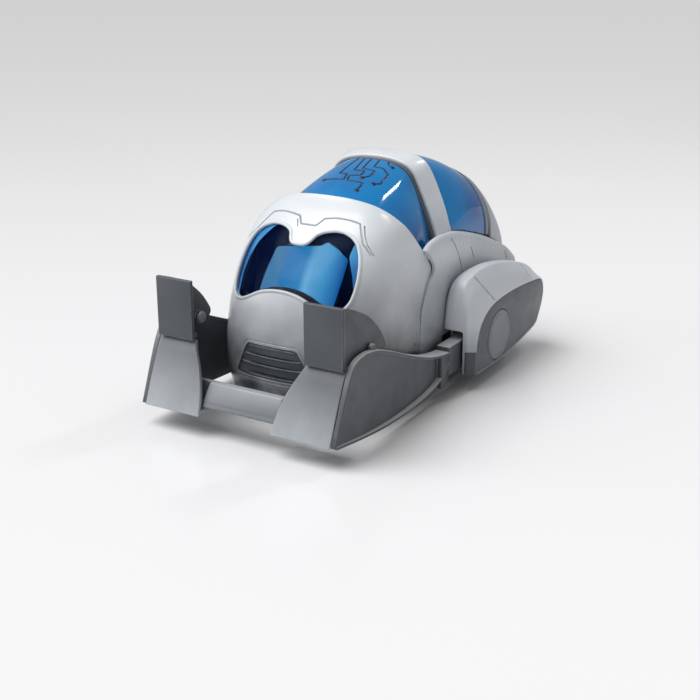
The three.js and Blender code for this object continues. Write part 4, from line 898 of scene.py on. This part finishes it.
G = np.array([rear_ring(80.7, 1, 103.0, 62), rear_ring(85.4, 1.01, 98.4, 60.5), rear_ring(90.6, 1.01, 90.6, 58.5), rear_ring(95.2, 1.0, 79.5, 56.6), rear_ring(98.4, 0.985, 64, 54.8)])
cols = [catmull(G[:, j], 6) for j in range(G.shape[1])]
rs = sheet(np.array(cols).transpose(1, 0, 2), 2.0)
BACKW = [[-34, 60.4], [-20, 62.6], [0, 63.2], [20, 62.6], [34, 60.4], [38, 50], [40.3, 44], [40.3, 11.2], [-40.3, 11.2], [-40.3, 44], [-38, 50]]
rs = join(rs, bevel(prism("y", fillet(BACKW, 2.0, 4), 96.9, 98.9), 0.5, 50, 3), label="rear wall")
for z in (40.0, 44.0, 48.0, 52.0):
    rs = cut(rs, prism("y", fillet([(-20, z - 0.7), (20, z - 0.7), (20, z + 0.7), (-20, z + 0.7)], 0.65, 4), 98.0, 105), label="rear vent")
rs = common(cut(rs, GL, GR_, fender_outer, mirrored(fender_outer), box(-6.2, 6.2, 90, 105, 26.6, 33.4), label="rear cuts"), box(-60, 60, 80.5, 110, 0, 130), label="rear box")
piece("rear_shell_skin", rs, "rear", replaces=["rear_shell"])

# ------------------------------------------------------------------- the pods
P_FACE = [[14.1, 9.0], [13.9, 20.1], [14.9, 27.4], [18, 34.7], [23.7, 39.3], [28.8, 41.7], [35.2, 43.4], [49, 44.6], [65.6, 44.5], [83, 43.4], [93.8, 42.2], [97.6, 40.6], [100, 36.6], [100.6, 32], [98.6, 25.8], [94.9, 19.9], [91.8, 15.5], [77.8, 13], [59.2, 10.3], [41.2, 8.9]]
P_EDGE = [[11.5, 9.3], [11.5, 22], [11.5, 33], [11.8, 43], [14, 49], [18.5, 52], [27, 53.6], [45, 54], [64, 52.2], [82, 49.0], [93, 45.6], [99.5, 42], [104.4, 37.2], [106.9, 31], [106.3, 24.5], [102.4, 18.5], [97, 13.5], [80, 11], [59.2, 9.6], [41.2, 9.0]]
P_RIDGE = [[11.5, 9.3], [11.5, 22], [11.5, 33], [12.0, 46], [13.6, 53.5], [17.5, 57.8], [26, 60.2], [42, 60.6], [62, 57.8], [81, 53.2], [93, 49], [100.5, 44.5], [105.3, 38.4], [107.2, 31], [106.9, 24.5], [103.4, 18.5], [98, 13.5], [80, 11], [59.2, 9.6], [41.2, 9.0]]
P_TOP = [[y + 0.2, z + 0.2] if 4 <= i <= 11 else [y, z] for i, (y, z) in enumerate(P_RIDGE)]
P_IN1 = [[y + (0.6 if i < 6 else 0), z - 2.0] if 3 <= i <= 12 else [y, z] for i, (y, z) in enumerate(P_RIDGE)]
P_IN0 = [[y + (1.6 if i < 6 else 0), z - 4.6] if 3 <= i <= 12 else [y + 0.8 if i < 3 else y, z] for i, (y, z) in enumerate(P_RIDGE)]
RF = [1.0] + [9.0] * 19


def smooth_outline(o):
    return fillet(o, RF, 5)


pod_rings = [[(x, y, z) for y, z in smooth_outline(o)] for x, o in ((46.9, P_IN0), (48.3, P_IN1), (52, P_TOP), (57, P_RIDGE), (60.5, P_EDGE), (64.6, P_FACE))]
pod_outer = loft(round_rings(pod_rings, 0.9, 4))
pod_inner = loft([[(x, y, z) for y, z in smooth_outline(o)] for x, o in ((48.9, grow(P_IN1, -2.2)), (54, grow(P_TOP, -2.2)), (57, grow(P_RIDGE, -2.2)), (60.0, grow(P_EDGE, -2.2)), (62.3, grow(P_FACE, -2.4)))])
FACE_S = smooth_outline(P_FACE)
pod = cut(pod_outer, pod_inner, prism("x", grow(FACE_S, -0.6), 62.3, 70), box(59.4, 70, 5, 16.6, 5, 21.6), label="pod")
slot_outline = fillet([(45.5, 2), (58.2, 2), (58.2, 32.2), (45.5, 32.2)], 1.6, 4)
pod = cut(pod, prism("y", slot_outline, 5, 20), tube("x", 41.6, 23.7, 3.0, 40, 52), label="pod slot")
tree = tree_of(pod_outer)
for s in ([(57.6, 24, 58.4), (60.2, 26.9, 54.1), (62.5, 31.5, 48.6), (64.3, 35.6, 44.2)], [(57, 82, 52.8), (59.6, 82.5, 49.8), (62.5, 83.2, 46.2), (64.2, 84.2, 43.9)]):
    pod = cut(pod, channel(tree, s, 1.0, 1.3, 0.8), label="pod seam")
sides("pod_shell", pod, "pod", angle=36)
pp = bevel(prism("x", grow(FACE_S, -0.9), 62.6, 64.6), 0.35, 50, 3)
pp = cut(pp, tube("x", 41.6, 23.7, 13.7, 60, 70, 96), label="panel hole")
pp = join(pp, common(cut(pod_outer, prism("x", grow(FACE_S, -2.2), 50, 63.0), label="skirt"), box(59.7, 70, 5, 16.3, 5, 21.3), label="skirt box"), label="panel skirt")
sides("pod_panel", pp, "panel")
cap_profile = [(62.7, 0.0), (62.7, 12.9), (63.1, 13.3), (64.35, 13.4), (64.7, 13.28), (64.92, 13.0), (65.0, 12.6), (65.0, 11.7), (64.75, 11.45), (64.75, 11.05), (65.0, 10.8), (65.0, 0.0)]
sides("pivot_cap", turn_x(cap_profile, 41.6, 23.7, 96), "cap")

# ------------------------------------------------------------------- the arms
LIFT = ("lift_frame", "lift_frame")
FORE_TOP = [[-106.6, 10.9], [-92.8, 42.2], [-89.4, 46.1], [-82.5, 47.8], [-75.5, 47.6], [-67.1, 45.7], [-57.1, 42.1], [-37.5, 34.2], [-20.9, 28.5], [-6.5, 25.5], [-0.9, 25.0]]
FORE_LOW = [[-0.9, 9.6], [-8.5, 6.4], [-22, 4.7], [-49, 5.2], [-74.4, 6.8], [-98, 9.4]]
FT, FL = catmull(FORE_TOP, 7), catmull(FORE_LOW, 5)
fore = bevel(prism("x", np.vstack([FT, FL]), 52.5, 54.3), 0.3, 60, 2)
lip_in = pchip([-107, -92, -75, -57, -37, -20, -0.9], [52.5, 52.5, 52.5, 52.2, 51, 49.8, 48.9])
lip_out = pchip([-107, -92, -75, -57, -37, -20, -0.9], [54.9, 55.4, 55.8, 56.2, 56.6, 56.9, 57.0])


def along(path):
    P = np.array(path)
    T = np.gradient(P, axis=0)
    T /= np.linalg.norm(T, axis=1, keepdims=True)
    return P, T


P, T = along(FT)
rings = []
for (y, z), (ty, tz) in zip(P, T):
    ny, nz = tz, -ty
    q = [(lip_in(y), y, z), (lip_out(y), y, z), (lip_out(y), y + ny * 1.5, z + nz * 1.5), (lip_in(y), y + ny * 1.5, z + nz * 1.5)]
    rings.append(fillet(q, [0.3, 0.65, 0.4, 0.3], 4))
lip_body = loft(rings)
RIB = catmull([[-104.5, 10.4], [-74.4, 7.5], [-49.1, 6.9], [-22, 8.9], [-7.8, 13.2], [-0.9, 18.2]], 7)
rib_w = pchip([-104.5, -74.4, -49.1, -22, -7.8, -0.9], [0.5, 1.6, 2.2, 2.5, 2.7, 2.7])
rib = loft([fillet([(54.0, y, z - 0.8), (54.3 + rib_w(y), y, z - 0.75), (54.3 + rib_w(y), y, z + 0.75), (54.0, y, z + 0.8)], [0, 0.5, 0.5, 0], 4) for y, z in RIB])
block = bevel(prism("x", [(-9, 7.4), (-0.9, 10.0), (-0.9, 24.6), (-9, 25.2)], 49.0, 56.9), 0.5, 50, 3)
fore = join(fore, lip_body, rib, block, box(50.8, 55, -1.2, 8.4, 15.2, 23.6), tube("x", -69.5, 45.2, 1.9, 46.7, 53.4, 32), label="forearm")
boss = turn_x([(52.6, 0), (52.6, 2.3), (53.9, 2.3), (54.3, 1.9), (54.3, 0)], -72.2, 47.6, 40)
fore = join(fore, boss, label="hinge boss")
sides("forearm", fore, "arm", LIFT)
link = fillet([[-0.6, 12.0], [12.5, 11.9], [18, 13.8], [30, 14.8], [41.6, 15.0], [41.6, 33.2], [34, 31.6], [24, 28.6], [12, 27.3], [-0.6, 27.3]], [0.8, 3, 3, 3, 0, 0, 3, 3, 3, 0.8], 4)
link = join(bevel(prism("x", link, 49.4, 56.8), 0.6, 50, 3), bevel(tube("x", 41.6, 23.7, 9.6, 49.4, 58.8, 64), 0.5, 50, 3), label="link")
link = cut(link, box(50.5, 55.3, -5, 8.7, 14.9, 23.9), tube("x", 41.6, 23.7, 2.55, 48, 57.5), label="link cuts")
sides("arm_link", link, "arm", LIFT)

RAMP = [[-107.2, 10.6], [-104.6, 17.0], [-101.6, 24.4], [-98.4, 31.6], [-95.6, 37.6], [-93.6, 41.0], [-92.6, 42.0], [-91.4, 42.2]]
INX = [20.4, 21.2, 22.9, 25.8, 29.0, 30.8, 31.3, 31.4]
R3 = catmull([[y, z, x] for (y, z), x in zip(RAMP, INX)], 7)
P, T = along(R3[:, :2])
rings = []
for i, ((y, z), (ty, tz)) in enumerate(zip(P, T)):
    ny, nz = tz, -ty
    t = 2.1 * (0.35 + 0.65 * min(1, i / 7))
    x0 = R3[i][2]
    q = [(x0, y, z), (52.2, y, z), (52.2, y + ny * t, z + nz * t), (x0, y + ny * t, z + nz * t)]
    rings.append(fillet(q, [0.6, 0.4, 0.3, 0.3], 3))
scoop = loft(rings)
flange = bevel(prism("x", fillet([[-104.0, 14], [-100.5, 12.5], [-78.5, 12.5], [-78.5, 34], [-88, 39.5], [-94.2, 37.6]], 1.0, 3), 50.2, 52.2), 0.3, 60, 2)
floor_lip = bevel(prism("x", [[-105.6, 11.0], [-90, 10.4], [-90, 12.4], [-104.9, 12.8]], 21.0, 52.2), 0.3, 40, 2)
scoop = join(scoop, flange, floor_lip, label="scoop")
scoop = cut(scoop, tube("x", -93, 24, 1.2, 50, 60, 24), tube("x", -84, 30, 1.2, 50, 60, 24), label="scoop holes")
sides("scoop", scoop, "ramp", LIFT)


def blade(s):
    rings = []
    P, T = along(catmull(RAMP, 7))
    for (y, z), (ty, tz) in zip(P, T):
        ny, nz = tz, -ty
        rings.append([(s * 19.9, y - ny * 4, z - nz * 4), (s * 53, y - ny * 4, z - nz * 4), (s * 53, y + ny * 2.5, z + nz * 2.5), (s * 19.9, y + ny * 2.5, z + nz * 2.5)])
    return loft(rings)


beam = bevel(prism("x", fillet([[-103.4, 14.2], [-100.4, 19.6], [-96.6, 24.5], [-94.8, 24.5], [-94.8, 14.2]], [0.5, 4, 0.8, 0.5, 0.5], 4), -20.6, 20.6), 0.4, 50, 3)
ear = bevel(prism("x", [[-98.4, 15.2], [-94.8, 20.6], [-94.8, 24.2], [-92.4, 24.2], [-92.4, 15.2]], -30, 30), 0.3, 50, 2)
beam = cut(join(beam, ear, label="beam"), blade(1), blade(-1), label="beam ends")
piece("cross_beam_skin", beam, "beam", "lift_frame", ["cross_beam"])

CHEEK = [[-93.3, 71.6], [-90.7, 70.9], [-83.9, 68.5], [-72.2, 62.8], [-62.5, 54.4], [-56.2, 45.2], [-58.5, 41.6], [-66, 39.2], [-72, 38.8], [-76.5, 41.5], [-80, 44.4], [-90.5, 44.6], [-93.3, 43.0]]
cheek = bevel(prism("x", fillet(CHEEK, [0, 2, 4, 5, 5, 2.5, 2, 3, 3, 3, 3, 1, 0], 5), 49.6, 51.8), 0.45, 50, 3)
plate = bevel(prism("x", fillet([[-95.2, 42.6], [-93.0, 42.6], [-93.0, 71.8], [-95.2, 71.8]], 0.3, 2), 31.5, 51.8), 0.3, 50, 3)
foot = prism("x", [[-93.2, 44.6], [-91.4, 43.4], [-91.4, 45.4], [-93.2, 46.4]], 31.5, 50)
jaw = join(cheek, plate, foot, bevel(tube("x", -69.5, 45.2, 3.6, 47.0, 50, 40), 0.3, 50, 2), label="jaw")
for z in (50.0, 57.0, 64.0):
    jaw = join(jaw, bevel(prism("x", [(-93.2, z - 0.6), (-92.0, z - 0.5), (-92.0, z + 0.5), (-93.2, z + 0.6)], 34.0, 49.8), 0.2, 40, 2), label="jaw rib")
jaw = cut(jaw, tube("x", -69.5, 45.2, 2.0, 40, 60, 32), label="jaw bore")
sides("jaw", jaw, "dark", ("jaw_l", "jaw_r"))
sides("jaw_cap", turn_x([(44.9, 0), (44.9, 2.3), (45.05, 2.65), (45.4, 2.88), (46.4, 2.9), (46.4, 0)], -69.5, 45.2, 48), "mid", LIFT)

# ------------------------------------------------------------------ the tyres
BLOCK = 8


def tread(i, x, r):
    if r < 17.1:
        return 0.0
    side = 4 if x > 31.1 else 0
    return 0.9 if (i + side) % BLOCK in (0, 1) else 0.0


tyre = turn_x([(26.6, 14.7), (26.6, 16.9), (26.9, 17.5), (27.6, 18.0), (30.9, 18.0), (31.0, 17.0), (31.2, 17.0), (31.3, 18.0), (34.6, 18.0), (35.3, 17.5), (35.6, 16.9), (35.6, 14.7)], 64, 18, 192, tread)
sides("tyre", tyre, "rubber", ("wheel_l", "wheel_r"))

# ------------------------------------- carried-over frame pieces: finish them
KEPT = {
    "led_board": "pcb", "main_board": "pcb", "chassis_tray": "black", "battery_door": "black", "speaker": "black", "motor_clamp": "black",
    "switch_body": "black", "door_screw": "steel", "contact_front": "steel", "contact_rear": "steel", "drive_motor_left": "steel",
    "drive_motor_right": "steel", "lift_motor": "steel", "drive_shaft_left": "steel", "drive_shaft_right": "steel", "lift_shaft": "steel",
    "aa_cell_1": "cell", "aa_cell_2": "cell", "aa_cell_3": "cell", "aa_cell_4": "cell", "switch_knob": "mid", "wheel_hub_left": "mid",
    "wheel_hub_right": "mid", "front_roller": "mid", "lift_gear": "gearc", "lift_pinion": "brass",
}
for name, key in KEPT.items():
    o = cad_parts[name]
    o.data.materials.clear()
    o.data.materials.append(MAT[key])
    w = o.modifiers.new("weld", "WELD")
    w.merge_threshold = 1e-5
    v = o.modifiers.new("edges", "BEVEL")
    v.width = 0.00012 if name in ("lift_gear", "lift_pinion") else 0.00025
    v.segments = 2
    v.limit_method = "ANGLE"
    v.angle_limit = math.radians(40)
    o.data.shade_smooth()
    o.data.set_sharp_from_angle(angle=math.radians(40))

# -------------------------------------------------------- floor, light, camera
fm = bpy.data.materials.new("studio_floor")
fm.use_nodes = True
fb = fm.node_tree.nodes["Principled BSDF"]
fb.inputs["Base Color"].default_value = (0.80, 0.80, 0.81, 1)
fb.inputs["Roughness"].default_value = 0.22
fb.inputs["Specular IOR Level"].default_value = 0.3
me = bpy.data.meshes.new("floor")
me.from_pydata([(-14, -14, 0), (14, -14, 0), (14, 14, 0), (-14, 14, 0)], [], [(0, 1, 2, 3)])
me.materials.append(fm)
floor = bpy.data.objects.new("floor", me)
bpy.context.scene.collection.objects.link(floor)

world = bpy.data.worlds.new("studio")
world.use_nodes = True
world.node_tree.nodes["Background"].inputs[0].default_value = (1, 1, 1, 1)
world.node_tree.nodes["Background"].inputs[1].default_value = 0.34
bpy.context.scene.world = world
bpy.context.scene.view_settings.view_transform = "Standard"


def aimed(o, loc, target):
    o.location = loc
    o.rotation_euler = (Vector(target) - Vector(loc)).to_track_quat("-Z", "Y").to_euler()
    bpy.context.scene.collection.objects.link(o)
    return o


def area(name, loc, target, size, power, size_y=None):
    d = bpy.data.lights.new(name, "AREA")
    d.energy, d.shape, d.size, d.size_y = power, "RECTANGLE", size, size_y or size
    return aimed(bpy.data.objects.new(name, d), loc, target)


sun = bpy.data.lights.new("top_light", "SUN")
sun.energy, sun.angle = 2.7, math.radians(48)
aimed(bpy.data.objects.new("top_light", sun), (-0.42, -0.30, 1.0), (0, 0, 0))
area("fill_left", (-0.75, -0.55, 0.40), (0, -0.03, 0.05), 0.5, 1.6)

CAM = Vector((0.31624, -0.52376, 0.22976))
ax, ay = math.radians(70.7), math.radians(31.3)


def view_ray(u, v):
    x, y, z = (u - 350) / 1224, (350 - v) / 1224, -1.0
    y, z = y * math.cos(ax) - z * math.sin(ax), y * math.sin(ax) + z * math.cos(ax)
    return Vector((x * math.cos(ay) - y * math.sin(ay), x * math.sin(ay) + y * math.cos(ay), z)).normalized()


# a small strip light placed where the canopy mirrors it towards the camera
d = view_ray(392, 190)
hit, n, _, _ = canopy_tree.ray_cast(CAM * 1000, d)
r = d - 2 * d.dot(n) * n
area("strip", hit / 1000 + r * 0.8, hit / 1000, 0.045, 0.8, 0.22)

cd = bpy.data.cameras.new("camera")
cd.sensor_width = 36
cd.lens = 36 * 1224 / 700
cam = bpy.data.objects.new("camera", cd)
cam.location = (0.31624, -0.52376, 0.22976)
cam.rotation_euler = (math.radians(70.7), 0, math.radians(31.3))
bpy.context.scene.collection.objects.link(cam)
bpy.context.scene.camera = cam
